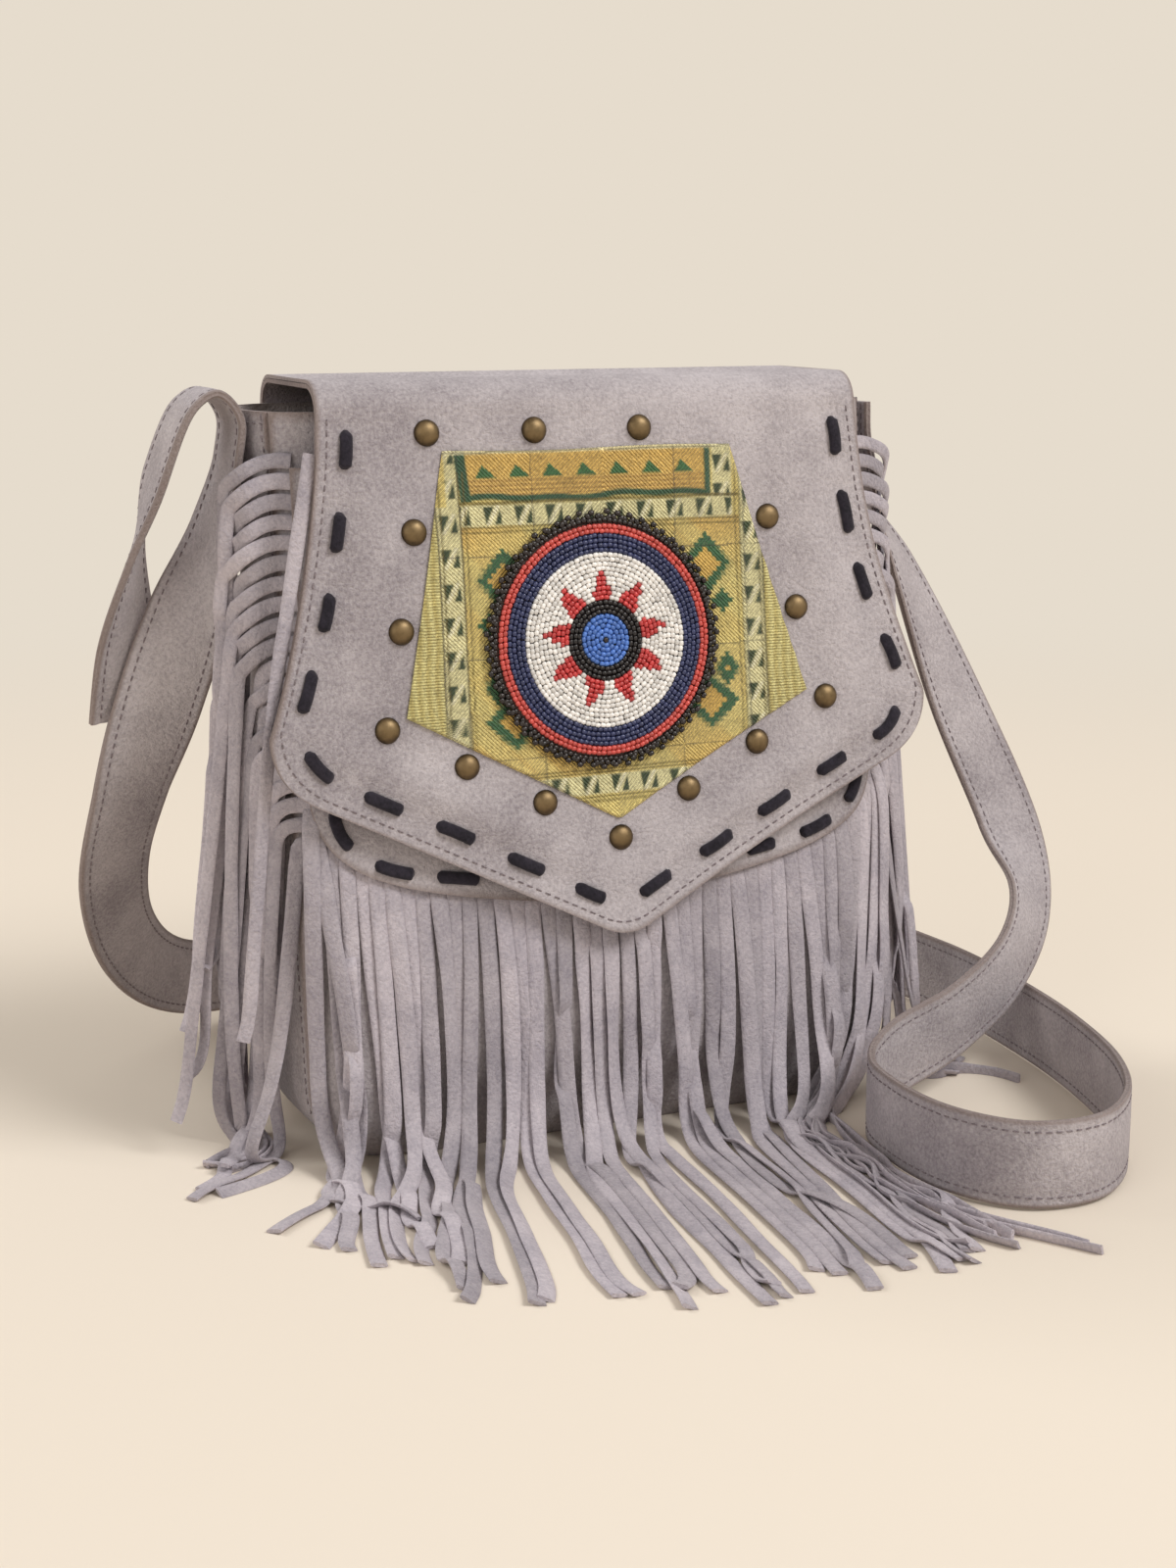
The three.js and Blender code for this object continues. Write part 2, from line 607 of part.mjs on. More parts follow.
// A layer of the flap in section: down the leaned front, round the fold and back over the opening
function flapSection(from, to) {
  const foldHeight = BODY_HEIGHT - FLAP_FOLD_RADIUS;
  const foldDepth = -BASE_DEPTH / 2 + foldHeight * Math.tan(FRONT_LEAN) + FLAP_FOLD_RADIUS / FRONT_COS;
  const low = FLAP_TIP_HEIGHT / 2;
  const frontAt = (out) => [-BASE_DEPTH / 2 + low * Math.tan(FRONT_LEAN) - out / FRONT_COS, low];
  const foldStart = Math.PI - FRONT_LEAN;
  const shape = new THREE.Shape();
  shape.moveTo(...frontAt(to));
  shape.absarc(foldDepth, foldHeight, FLAP_FOLD_RADIUS + to, foldStart, Math.PI / 2, true);
  shape.lineTo(HINGE_DEPTH, BODY_HEIGHT + to);
  shape.lineTo(HINGE_DEPTH, BODY_HEIGHT + from);
  shape.absarc(foldDepth, foldHeight, FLAP_FOLD_RADIUS + from, Math.PI / 2, foldStart, false);
  shape.lineTo(...frontAt(from));
  return plate(shape, -BODY_WIDTH, BODY_WIDTH).rotateX(Math.PI / 2).rotateZ(Math.PI / 2);
}

// A layer of the flap cut to the flap's outline
function flapLayer(from, to) {
  const outline = flapEdge(0, new THREE.Shape());
  outline.lineTo(FLAP_TOP_HALF_WIDTH, BODY_HEIGHT + 2 * FLAP_TO);
  outline.lineTo(-FLAP_TOP_HALF_WIDTH, BODY_HEIGHT + 2 * FLAP_TO);
  const prism = plate(outline, -2 * BASE_DEPTH, 2 * BASE_DEPTH, 7).rotateX(Math.PI / 2);
  return solid(flapSection(from, to)).intersect(solid(prism));
}

function onFrontFace(geometry) {
  return solid(geometry.applyMatrix4(frontFace.matrixWorld));
}

function flapLacePath() {
  return flapEdge(FLAP_LACE_INSET, new THREE.Path(), BODY_HEIGHT - FLAP_FOLD_RADIUS);
}

function flap() {
  const lace = flapLacePath();
  const slits = laceSlits(lace, FLAP_STITCHES, FLAP_FROM, FLAP_TO);
  const cuts = [slits];
  for (const [x, height] of studPlaces()) {
    const radius = STUD_POST_RADIUS + 2 * GAP;
    const hole = new THREE.CylinderGeometry(radius, radius, SUEDE_THICKNESS + 2, 6).rotateX(Math.PI / 2);
    cuts.push(solid(hole.translate(x, upFace(height, FLAP_TO), (FLAP_FROM + FLAP_TO) / 2)));
  }
  const cut = geometryOf(union(cuts));
  return piece('flap', geometryOf(flapLayer(FLAP_FROM, FLAP_TO).subtract(onFrontFace(cut))), SUEDE);
}

// The facing meets the suede at its rim and has a shallow pocket for the lace and the studs' backs
function flapFacing() {
  const outline = flapEdge(FACING_RIM, new THREE.Shape()).getPoints(6);
  const raised = outline.map(({ x, y }) => new THREE.Vector2(x, upFace(y, FACING_TO)));
  const pocket = plate(new THREE.Shape(raised), FACING_FROM + FACING_SKIN, FLAP_TO);
  const layer = flapLayer(FACING_FROM, FACING_TO);
  return piece('flap_lining', geometryOf(layer.subtract(onFrontFace(pocket))), SUEDE_DARK);
}

function flapLace() {
  const stations = laceStations(flapLacePath(), FLAP_STITCHES, FLAP_LACE_UNDER, FLAP_LACE_OVER);
  return piece('flap_lace', band(stations, LACE_WIDTH, LACE_THICKNESS), LACE_BLACK);
}

// The patch's five corners seen from the front, from its upper left, counterclockwise
const PATCH_CORNERS = [
  [PATCH_TOP_SHIFT - PATCH_TOP_WIDTH / 2, PATCH_TOP_HEIGHT],
  [-PATCH_LOW_WIDTH / 2, PATCH_LOW_HEIGHT],
  [0, PATCH_TIP_HEIGHT],
  [PATCH_LOW_WIDTH / 2, PATCH_LOW_HEIGHT],
  [PATCH_TOP_SHIFT + PATCH_TOP_WIDTH / 2, PATCH_TOP_HEIGHT],
].map((corner) => new THREE.Vector2(...corner));

function embroideredPatch() {
  const corners = PATCH_CORNERS.map(({ x, y }) => new THREE.Vector2(x, upFace(y, PATCH_FROM)));
  return piece('embroidered_patch', plate(new THREE.Shape(corners), PATCH_FROM, PATCH_TO), EMBROIDERY);
}

// A corner of the patch moved out so that both edges beside it move out by a distance
function cornerOutside(place, distance) {
  const count = PATCH_CORNERS.length;
  const corner = PATCH_CORNERS[place % count];
  const before = corner.clone().sub(PATCH_CORNERS[(place + count - 1) % count]).normalize();
  const after = PATCH_CORNERS[(place + 1) % count].clone().sub(corner).normalize();
  const normals = [before, after].map(({ x, y }) => new THREE.Vector2(y, -x));
  const mitre = normals[0].clone().add(normals[1]).normalize();
  return corner.clone().addScaledVector(mitre, distance / mitre.dot(normals[0]));
}

// Three studs to each side of the patch, one of them at its first corner; the last corner has none
function studPlaces() {
  const places = [];
  for (let side = 0; side < PATCH_CORNERS.length; side += 1) {
    const start = cornerOutside(side, STUD_OFFSET);
    const end = cornerOutside(side + 1, STUD_OFFSET);
    const bare = side === PATCH_CORNERS.length - 1;
    for (const share of [0, 1 / 3, 2 / 3]) {
      if (bare && share === 0) continue;
      places.push(start.clone().lerp(end, share).toArray());
    }
  }
  return places;
}

// A domed rivet: cap on the suede, post through it, and a flat plate behind it
function stud(name, x, height) {
  const back = -(2 * GAP + SUEDE_THICKNESS);
  const profile = [
    [0, back - STUD_PLATE_THICKNESS],
    [STUD_PLATE_RADIUS, back - STUD_PLATE_THICKNESS],
    [STUD_PLATE_RADIUS, back],
    [STUD_POST_RADIUS, back],
    [STUD_POST_RADIUS, 0],
    [STUD_RADIUS, 0],
    [STUD_RADIUS, STUD_DOME * 0.25],
    [STUD_RADIUS * 0.7, STUD_DOME * 0.85],
    [0, STUD_DOME],
  ].map((point) => new THREE.Vector2(...point));
  const mesh = piece(name, new THREE.LatheGeometry(profile, 8).rotateX(Math.PI / 2), BRASS);
  mesh.position.set(x, upFace(height, FLAP_TO), FLAP_TO + GAP);
  return mesh;
}

function circlePath(radius, Kind = THREE.Path) {
  const path = new Kind();
  path.absarc(0, 0, radius, 0, 2 * Math.PI, false);
  return path;
}

// An outline round a centre whose radius is worked out from its place on the turn
function polarPath(count, radiusAt, Kind = THREE.Path) {
  const points = Array.from({ length: count }, (_, place) => {
    const angle = Math.PI / 2 + (place / count) * 2 * Math.PI;
    const radius = radiusAt(place);
    return new THREE.Vector2(radius * Math.cos(angle), radius * Math.sin(angle));
  });
  return new Kind(points);
}

function starPath(grow, Kind) {
  const radiusAt = (place) => (place % 2 === 0 ? STAR_TIP_RADIUS + 2 * grow : STAR_VALLEY_RADIUS + grow);
  return polarPath(2 * STAR_POINTS, radiusAt, Kind);
}

function picotPath(Kind) {
  const steps = 3;
  const wave = (PICOT_REACH - PICOT_ROOT) / 2;
  const middle = RED_RADIUS + GAP + PICOT_ROOT + wave;
  const radiusAt = (place) => middle + wave * Math.sin((place / steps) * 2 * Math.PI);
  return polarPath(PICOT_LOOPS * steps, radiusAt, Kind);
}

// A flat outline with a hole
function withHole(outline, hole) {
  outline.holes.push(hole);
  return outline;
}

// The bead medallion: a felt backing, and bands of sewn beads one round the other
function medallion() {
  const group = new THREE.Group();
  group.position.set(MEDALLION_SHIFT, upFace(MEDALLION_HEIGHT, BEADS_FROM), 0);
  const segments = 11;
  const beads = (name, shape, finish) => {
    group.add(piece(name, plate(shape, BEADS_FROM, BEADS_TO, segments), finish));
  };
  const ring = (inner, outer) => withHole(circlePath(outer, THREE.Shape), circlePath(inner + GAP));
  const backing = plate(circlePath(BACKING_RADIUS, THREE.Shape), BACKING_FROM, BACKING_TO, segments);
  group.add(piece('medallion_backing', backing, FELT));
  beads('beads_blue_centre', circlePath(BLUE_RADIUS, THREE.Shape), BEAD_BLUE);
  beads('beads_black_ring', ring(BLUE_RADIUS, BLACK_RADIUS), BEAD_BLACK);
  const star = withHole(starPath(0, THREE.Shape), circlePath(BLACK_RADIUS + GAP));
  beads('beads_red_star', star, BEAD_RED);
  const field = withHole(circlePath(WHITE_RADIUS, THREE.Shape), starPath(GAP, THREE.Path));
  beads('beads_white_field', field, BEAD_WHITE);
  beads('beads_navy_band', ring(WHITE_RADIUS, NAVY_RADIUS), BEAD_NAVY);
  beads('beads_red_band', ring(NAVY_RADIUS, RED_RADIUS), BEAD_RED);
  const loops = withHole(picotPath(THREE.Shape), circlePath(RED_RADIUS + GAP));
  beads('bead_picot_edge', loops, BEAD_BLACK);
  return group;
}

// The magnetic snap: a ring on the yoke, and a plate with a knob on the flap's facing
function snapSocket() {
  const hole = circlePath(SNAP_KNOB_RADIUS + SNAP_KNOB_CLEARANCE);
  const shape = withHole(circlePath(SNAP_RADIUS, THREE.Shape), hole);
  const mesh = piece('snap_socket', plate(shape, SOCKET_FROM, SOCKET_TO, 10), BRASS);
  mesh.position.y = upFace(SNAP_HEIGHT, SOCKET_FROM);
  return mesh;
}

function snapStud() {
  const profile = [
    [0, SOCKET_FROM + GAP],
    [SNAP_KNOB_RADIUS, SOCKET_FROM + GAP],
    [SNAP_KNOB_RADIUS, SNAP_PLATE_FROM],
    [SNAP_RADIUS, SNAP_PLATE_FROM],
    [SNAP_RADIUS, SNAP_PLATE_TO],
    [0, SNAP_PLATE_TO],
  ].map((point) => new THREE.Vector2(...point));
  const mesh = piece('snap_stud', new THREE.LatheGeometry(profile, 16).rotateX(Math.PI / 2), BRASS);
  mesh.position.y = upFace(SNAP_HEIGHT, SOCKET_FROM);
  return mesh;
}

// The strap's route from the right gusset to the left one: centre, and the way to its second edge.
// It hangs beside the bag, loops over the ground on its edge, passes behind the bag and rises on
// the left, where its end is folded over and sewn back on itself.
const STRAP_SEAT = HALF_WIDTH + GUSSET_BOW + GUSSET_HEM_THICKNESS + 2 * GAP + STRAP_THICKNESS / 2;
const STRAP_EDGE = STRAP_GROUND_GAP + STRAP_WIDTH / 2;
const STRAP_MIDDLE = (frontInside(BODY_HEIGHT, 0) + backInside(BODY_HEIGHT, 0)) / 2;
const STRAP_ROUTE = [
  [[STRAP_SEAT, STRAP_MIDDLE, BODY_HEIGHT - 2], [0, 1, 0]],
  [[STRAP_SEAT + STRAP_GROUND_GAP, STRAP_MIDDLE, BODY_HEIGHT - 16], [0, 1, 0]],
  [[134, 21, 216], [0.3, 0.94, 0.1]],
  [[149, 20, 190], [0.62, 0.74, 0.25]],
  [[172, 11, 134], [0.88, 0.35, 0.32]],
  [[187, -5, 88], [0.95, 0.2, 0.1]],
  [[184, -26, 62], [0.8, 0.3, -0.5]],
  [[163, -46, 43], [0.4, 0.2, -0.9]],
  [[131, -60, 29], [0.1, 0.1, -1]],
  [[96, -72, 21], [0, 0, -1]],
  [[79, -86, STRAP_EDGE], [0, 0, -1]],
  [[72, -114, STRAP_EDGE], [0, 0, -1]],
  [[76, -146, STRAP_EDGE], [0, 0, -1]],
  [[92, -167, STRAP_EDGE], [0, 0, -1]],
  [[116, -170, STRAP_EDGE], [0, 0, -1]],
  [[138, -155, STRAP_EDGE], [0, 0, -1]],
  [[157, -124, STRAP_EDGE], [0, 0, -1]],
  [[170, -80, STRAP_EDGE], [0, 0, -1]],
  [[177, -30, STRAP_EDGE], [0, 0, -1]],
  [[178, 25, STRAP_EDGE], [0, 0, -1]],
  [[166, 80, STRAP_EDGE], [0, 0, -1]],
  [[128, 124, STRAP_EDGE], [0, 0, -1]],
  [[70, 146, STRAP_EDGE], [0, 0, -1]],
  [[0, 154, STRAP_EDGE], [0, 0, -1]],
  [[-70, 150, STRAP_EDGE], [0, 0, -1]],
  [[-118, 126, 24], [-0.25, -0.1, -0.95]],
  [[-145, 92, 50], [-0.7, -0.3, -0.65]],
  [[-156, 62, 86], [-0.92, -0.3, -0.25]],
  [[-153, 42, 120], [-0.97, -0.2, -0.1]],
  [[-144, 29, 156], [-0.95, 0.3, -0.05]],
  [[-135, 21, 186], [-0.75, 0.65, 0]],
  [[-126, 17, 214], [-0.3, 0.95, 0]],
  [[-STRAP_SEAT - STRAP_GROUND_GAP, STRAP_MIDDLE, BODY_HEIGHT - 16], [0, 1, 0]],
  [[-STRAP_SEAT, STRAP_MIDDLE, BODY_HEIGHT - 2], [0, 1, 0]],
  [[-STRAP_SEAT - 7, STRAP_MIDDLE, BODY_HEIGHT + 6], [0, 1, 0]],
  [[-STRAP_SEAT - 15, STRAP_MIDDLE, BODY_HEIGHT + 2], [0, 1, 0]],
  [[-145, 18, 235], [0, 1, 0]],
  [[-152, 26, 205], [0.35, 0.9, 0]],
  [[-154, 34, 176], [0.75, 0.6, 0]],
  [[-153, 41, 148], [0.95, 0.25, 0]],
];

function strap() {
  const centres = STRAP_ROUTE.map(([centre]) => new THREE.Vector3(...centre));
  const edges = STRAP_ROUTE.map(([, across]) => new THREE.Vector3(...across).normalize());
  const curve = new THREE.CatmullRomCurve3(centres, false, 'centripetal');
  const edgeCurve = new THREE.CatmullRomCurve3(edges, false, 'centripetal');
  const stations = Array.from({ length: STRAP_STEPS + 1 }, (_, step) => {
    const share = step / STRAP_STEPS;
    const centre = curve.getPoint(share);
    const along = curve.getTangent(share);
    const across = edgeCurve.getPoint(share);
    across.addScaledVector(along, -across.dot(along)).normalize();
    const out = new THREE.Vector3().crossVectors(along, across);
    return { centre, across: across.negate(), out };
  });
  return piece('strap', band(stations, STRAP_WIDTH, STRAP_THICKNESS), SUEDE);
}

frontFace.add(
  frontPanel(),
  frontYoke(),
  yokeLace(),
  snapSocket(),
  flapLace(),
  embroideredPatch(),
  medallion(),
  snapStud(),
);
studPlaces().forEach(([x, height], place) => {
  frontFace.add(stud(`stud_${String(place + 1).padStart(2, '0')}`, x, height));
});

const bag = new THREE.Group();
bag.name = 'fringe_crossbody_bag';
bag.add(
  frontFace,
  backPanel(),
  gusset(),
  lining(),
  frontFringe(),
  sideFringe('fringe_left', -1),
  sideFringe('fringe_right', 1),
  flap(),
  flapFacing(),
  strap(),
);

export default bag;
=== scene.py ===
# %% [markdown]
# # A fringed suede crossbody bag
# The bag is soft all over: suede panels sewn into a leaning body, a heavy flap with black lacing,
# an embroidered patch under a sewn bead medallion, and cut strands that fall to the ground. The
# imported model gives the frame, and each soft piece is worked out here as a numpy surface around it.

# %% Load the frame
import math

import bpy
import numpy as np
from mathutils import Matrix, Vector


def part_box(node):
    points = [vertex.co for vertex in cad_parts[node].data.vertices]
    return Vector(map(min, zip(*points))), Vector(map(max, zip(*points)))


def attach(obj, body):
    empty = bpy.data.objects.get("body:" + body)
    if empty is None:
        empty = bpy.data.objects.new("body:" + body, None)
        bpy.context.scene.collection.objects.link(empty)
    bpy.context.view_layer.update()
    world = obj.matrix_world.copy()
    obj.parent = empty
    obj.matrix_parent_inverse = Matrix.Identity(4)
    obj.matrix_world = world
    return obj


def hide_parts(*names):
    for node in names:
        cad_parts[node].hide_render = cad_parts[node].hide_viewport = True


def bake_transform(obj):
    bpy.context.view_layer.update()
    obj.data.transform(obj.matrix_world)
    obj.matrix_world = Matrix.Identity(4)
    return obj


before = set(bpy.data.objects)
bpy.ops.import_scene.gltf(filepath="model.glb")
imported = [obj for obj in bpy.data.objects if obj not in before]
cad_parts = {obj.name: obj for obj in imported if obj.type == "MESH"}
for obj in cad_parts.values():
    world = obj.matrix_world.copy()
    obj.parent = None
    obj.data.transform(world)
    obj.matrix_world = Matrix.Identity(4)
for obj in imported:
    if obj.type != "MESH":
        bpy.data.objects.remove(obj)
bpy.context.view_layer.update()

# %% [markdown]
# ## Meshes from arrays
# Every piece is a handful of whole arrays: points in millimetres, four-cornered faces, and a few
# end caps. A grid of points becomes a sheet, two grids become a closed sheet with a rim, and a
# profile carried along a path becomes a strip. Working in millimetres keeps the sizes readable,
# and the points are turned into metres only when they go into the mesh.

# %% Grids, sheets and tubes
MM = 0.001


def grid_quads(rows, columns, around=False):
    """Faces of a grid of points stored row by row; around joins the last column to the first."""
    row, column = np.meshgrid(np.arange(rows - 1), np.arange(columns - (not around)), indexing="ij")
    after = (column + 1) % columns
    corners = [row * columns + column, row * columns + after]
    corners += [(row + 1) * columns + after, (row + 1) * columns + column]
    return np.stack(corners, -1).reshape(-1, 4)


def closed_sheet(outer, inner):
    """A thin closed body between two grids of points, with a rim along all four edges."""
    rows, columns = outer.shape[:2]
    size = rows * columns
    faces = grid_quads(rows, columns)
    place = np.arange(size).reshape(rows, columns)
    edge = np.concatenate([place[0, :-1], place[:-1, -1], place[-1, :0:-1], place[:0:-1, 0]])
    following = np.roll(edge, -1)
    rim = np.stack([following, edge, edge + size, following + size], -1)
    points = np.concatenate([outer.reshape(-1, 3), inner.reshape(-1, 3)])
    return points, np.concatenate([faces, faces[:, ::-1] + size, rim]), []


def tube(rings):
    """Rings of points joined into a tube, with a flat face at each end."""
    rows, columns = rings.shape[:2]
    ring = np.arange(columns)
    caps = [ring[::-1], ring + (rows - 1) * columns]
    return rings.reshape(-1, 3), grid_quads(rows, columns, around=True), caps


def strip(centres, across, out, profile):
    """A closed profile of (across, out) offsets carried along a path."""
    sideways = profile[None, :, :1] * across[:, None]
    return tube(centres[:, None] + sideways + profile[None, :, 1:] * out[:, None])


def turned(profile, around):
    """A profile of (radius, height) rows turned about z."""
    radius, height = np.array(profile, float).T[:, :, None]
    turn = np.linspace(0, 2 * math.pi, around, endpoint=False)[None]
    return tube(np.stack([radius * np.cos(turn), radius * np.sin(turn), height + 0 * turn], -1))


def rod(profile, around):
    """A turned profile that lies along x."""
    points, quads, caps = turned(profile, around)
    return np.roll(points, 1, axis=1), quads, caps


UNIT_ROD = rod([(1, 0), (1, 1)], 8)
print("an eight-sided rod has", len(UNIT_ROD[0]), "points and", len(UNIT_ROD[2]), "caps")


# %% Shapes joined and scattered
def join(shapes):
    """Several shapes as one: their points one after another, their faces renumbered."""
    starts = np.cumsum([0] + [len(shape[0]) for shape in shapes[:-1]])
    points = np.concatenate([shape[0] for shape in shapes])
    quads = np.concatenate([shape[1] + start for shape, start in zip(shapes, starts)])
    caps = [cap + start for shape, start in zip(shapes, starts) for cap in shape[2]]
    return points, quads, caps


def scatter(unit, centres, axes):
    """Copies of a small shape, one at each centre, its x, y and z axes along the rows of axes."""
    points, quads, caps = unit
    placed = centres[:, None] + np.einsum("kj,nji->nki", points, axes)
    starts = np.arange(len(centres)) * len(points)
    all_caps = [cap + start for start in starts for cap in caps]
    return placed.reshape(-1, 3), (quads[None] + starts[:, None, None]).reshape(-1, 4), all_caps


print("two rods joined have", len(join([UNIT_ROD, UNIT_ROD])[0]), "points")

# %% From a shape to a piece
SHARP_ANGLE = math.radians(50)


def add_piece(name, shape, material, body, replaces=()):
    """Puts a shape into a mesh object in metres, gives it a finish and rides it on a body."""
    points, quads, caps = shape
    corners = np.concatenate([quads.ravel(), *caps]).astype(np.int32)
    sizes = np.concatenate([np.full(len(quads), 4), [len(cap) for cap in caps]]).astype(np.int32)
    mesh = bpy.data.meshes.new(name)
    mesh.vertices.add(len(points))
    mesh.vertices.foreach_set("co", (points * MM).astype(np.float32).ravel())
    mesh.loops.add(len(corners))
    mesh.loops.foreach_set("vertex_index", corners)
    mesh.polygons.add(len(sizes))
    mesh.polygons.foreach_set("loop_start", (np.cumsum(sizes) - sizes).astype(np.int32))
    mesh.polygons.foreach_set("use_smooth", np.ones(len(sizes), bool))
    mesh.update(calc_edges=True)
    mesh.set_sharp_from_angle(angle=SHARP_ANGLE)
    mesh.materials.append(material)
    piece = bpy.data.objects.new(name, mesh)
    bpy.context.collection.objects.link(piece)
    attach(piece, body)
    if replaces:
        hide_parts(*replaces)
    print(name, len(points), "points", len(sizes), "faces")
    return piece


def paint_points(piece, name, values):
    """Keeps one colour or number for each point as an attribute that the material reads."""
    kind, field = ("FLOAT_COLOR", "color") if values.ndim == 2 else ("FLOAT", "value")
    layer = piece.data.attributes.new(name, kind, "POINT")
    layer.data.foreach_set(field, values.astype(np.float32).ravel())


print("edges stay crisp from", round(math.degrees(SHARP_ANGLE)), "degrees")


# %% Lines and steps
def unit_vectors(vectors):
    """The same directions, each one unit long."""
    return vectors / np.maximum(np.linalg.norm(vectors, axis=-1, keepdims=True), 1e-9)


def run_along(line):
    """The distance from a line's start to each of its points."""
    return np.concatenate([[0], np.cumsum(np.linalg.norm(np.diff(line, axis=0), axis=1))])


def at_marks(marks, run, rows):
    """Rows that are known at the distances in run, read off at other distances."""
    return np.stack([np.interp(marks, run, column) for column in rows.T], -1)


def resample(points, count):
    """The same line with points at equal distances along it."""
    run = run_along(points)
    return at_marks(np.linspace(0, run[-1], count), run, points)


def bezier(controls, count=24):
    """A Bezier curve of any order, by repeated mixing of neighbouring control points."""
    share = np.linspace(0, 1, count)[:, None, None]
    level = np.broadcast_to(np.array(controls, float), (count, len(controls), len(controls[0])))
    while level.shape[1] > 1:
        level = (1 - share) * level[:, :-1] + share * level[:, 1:]
    return level[:, 0]


def smoothstep(value, low, high):
    """0 below one limit and 1 above another, with a cubic step between them."""
    share = np.clip((value - low) / (high - low), 0, 1)
    return share * share * (3 - 2 * share)


def squared(value, power):
    """A sine or cosine drawn towards 1 and -1 by a power below 1, which squares a circle off."""
    return np.sign(value) * np.abs(value) ** power


print("a quarter of the way, the step is at", smoothstep(0.25, 0, 1))

# %% [markdown]
# ## Camera, floor and light
# The camera was worked out from the bag's own corners: its distance, height and turn put the flap,
# the fringe's tips and the strap's loop where the photograph has them. The floor is plain and pale.
# One large soft lamp stands to the right and a weaker one to the left, at a level where a colour
# renders about as it is written, so the sides fall off into shade as they do in the photograph. A
# third lamp stands behind the bag, so that its back can be seen too.

# %% Camera
IMAGE_HEIGHT = 1600
FOCAL_PIXELS = 2400
CAMERA_PLACE = np.array([-330.4, -775.1, 301.6]) * MM
CAMERA_TARGET = np.array([6.7, 0.0, 117.6]) * MM

scene = bpy.context.scene
camera_data = bpy.data.cameras.new("camera")
camera_data.sensor_fit = "VERTICAL"
camera_data.angle = 2 * math.atan(IMAGE_HEIGHT / 2 / FOCAL_PIXELS)
camera = bpy.data.objects.new("camera", camera_data)
bpy.context.collection.objects.link(camera)
camera.location = CAMERA_PLACE
aim = Vector(CAMERA_TARGET - CAMERA_PLACE)
camera.rotation_euler = aim.to_track_quat("-Z", "Y").to_euler()
scene.camera = camera
scene.view_settings.view_transform = "Standard"
print("vertical field of view", round(math.degrees(camera_data.angle), 2))


# %% Colours and shader nodes
def linear(code, alpha=1.0):
    """An sRGB hex colour as linear red, green, blue and alpha."""
    shown = np.array([int(code[place:place + 2], 16) for place in (1, 3, 5)]) / 255
    straight = np.where(shown <= 0.04045, shown / 12.92, ((shown + 0.055) / 1.055) ** 2.4)
    return (*straight, alpha)


def add_node(tree, kind, inputs=None, **settings):
    """Adds one shader node; inputs maps a socket's name or number to a value or a socket."""
    made = tree.nodes.new(kind)
    for name, value in settings.items():
        setattr(made, name, value)
    for name, value in (inputs or {}).items():
        if isinstance(value, bpy.types.NodeSocket):
            tree.links.new(value, made.inputs[name])
        else:
            made.inputs[name].default_value = value
    return made


def new_material(name):
    """An empty material: its tree, and its Principled shader wired to the output."""
    material = bpy.data.materials.new(name)
    material.use_nodes = True
    tree = material.node_tree
    tree.nodes.clear()
    shader = add_node(tree, "ShaderNodeBsdfPrincipled")
    add_node(tree, "ShaderNodeOutputMaterial", {"Surface": shader.outputs["BSDF"]})
    return material, tree, shader


print("the middle grey #808080 is", round(float(linear("#808080")[0]), 3), "in linear light")

# %% Floor
FLOOR_HALF = 40.0
floor_mesh = bpy.data.meshes.new("floor")
floor_corners = [(-1, -1), (1, -1), (1, 1), (-1, 1)]
floor_points = [(x * FLOOR_HALF, y * FLOOR_HALF, 0) for x, y in floor_corners]
floor_mesh.from_pydata(floor_points, [], [(0, 1, 2, 3)])
floor = bpy.data.objects.new("floor", floor_mesh)
bpy.context.collection.objects.link(floor)
floor_finish, floor_tree, floor_shader = new_material("pale studio floor")
floor_shader.inputs["Base Color"].default_value = linear("#e9ddcd")
floor_shader.inputs["Roughness"].default_value = 0.9
BACKDROP = linear("#e6dccd")


def seen_directly(tree):
    """1 for rays that show the background: from the camera, off a gloss or through glass."""
    ray = add_node(tree, "ShaderNodeLightPath").outputs
    seen = ray["Is Camera Ray"]
    for other in ("Is Glossy Ray", "Is Transmission Ray"):
        either = add_node(tree, "ShaderNodeMath", {0: seen, 1: ray[other]}, operation="MAXIMUM")
        seen = either.outputs[0]
    return seen


FADE_START, FADE_END = 0.45, 1.3  # metres from the bag's middle
floor_where = add_node(floor_tree, "ShaderNodeTexCoord").outputs["Object"]
floor_reach = add_node(floor_tree, "ShaderNodeVectorMath", {0: floor_where}, operation="LENGTH")
floor_far = add_node(floor_tree, "ShaderNodeMapRange",
                     {0: floor_reach.outputs["Value"], 1: FADE_START, 2: FADE_END, 3: 0.0, 4: 1.0},
                     interpolation_type="SMOOTHSTEP")
floor_fade = add_node(floor_tree, "ShaderNodeMath",
                      {0: floor_far.outputs[0], 1: seen_directly(floor_tree)}, operation="MULTIPLY")
floor_glow = add_node(floor_tree, "ShaderNodeEmission", {"Color": BACKDROP, "Strength": 1.0})
floor_mix = add_node(
    floor_tree, "ShaderNodeMixShader",
    {0: floor_fade.outputs[0], 1: floor_shader.outputs[0], 2: floor_glow.outputs[0]})
floor_tree.links.new(floor_mix.outputs[0], floor_tree.nodes["Material Output"].inputs["Surface"])
floor_mesh.materials.append(floor_finish)
print("floor", 2 * FLOOR_HALF, "m wide, faded out from", FADE_START, "to", FADE_END, "m")

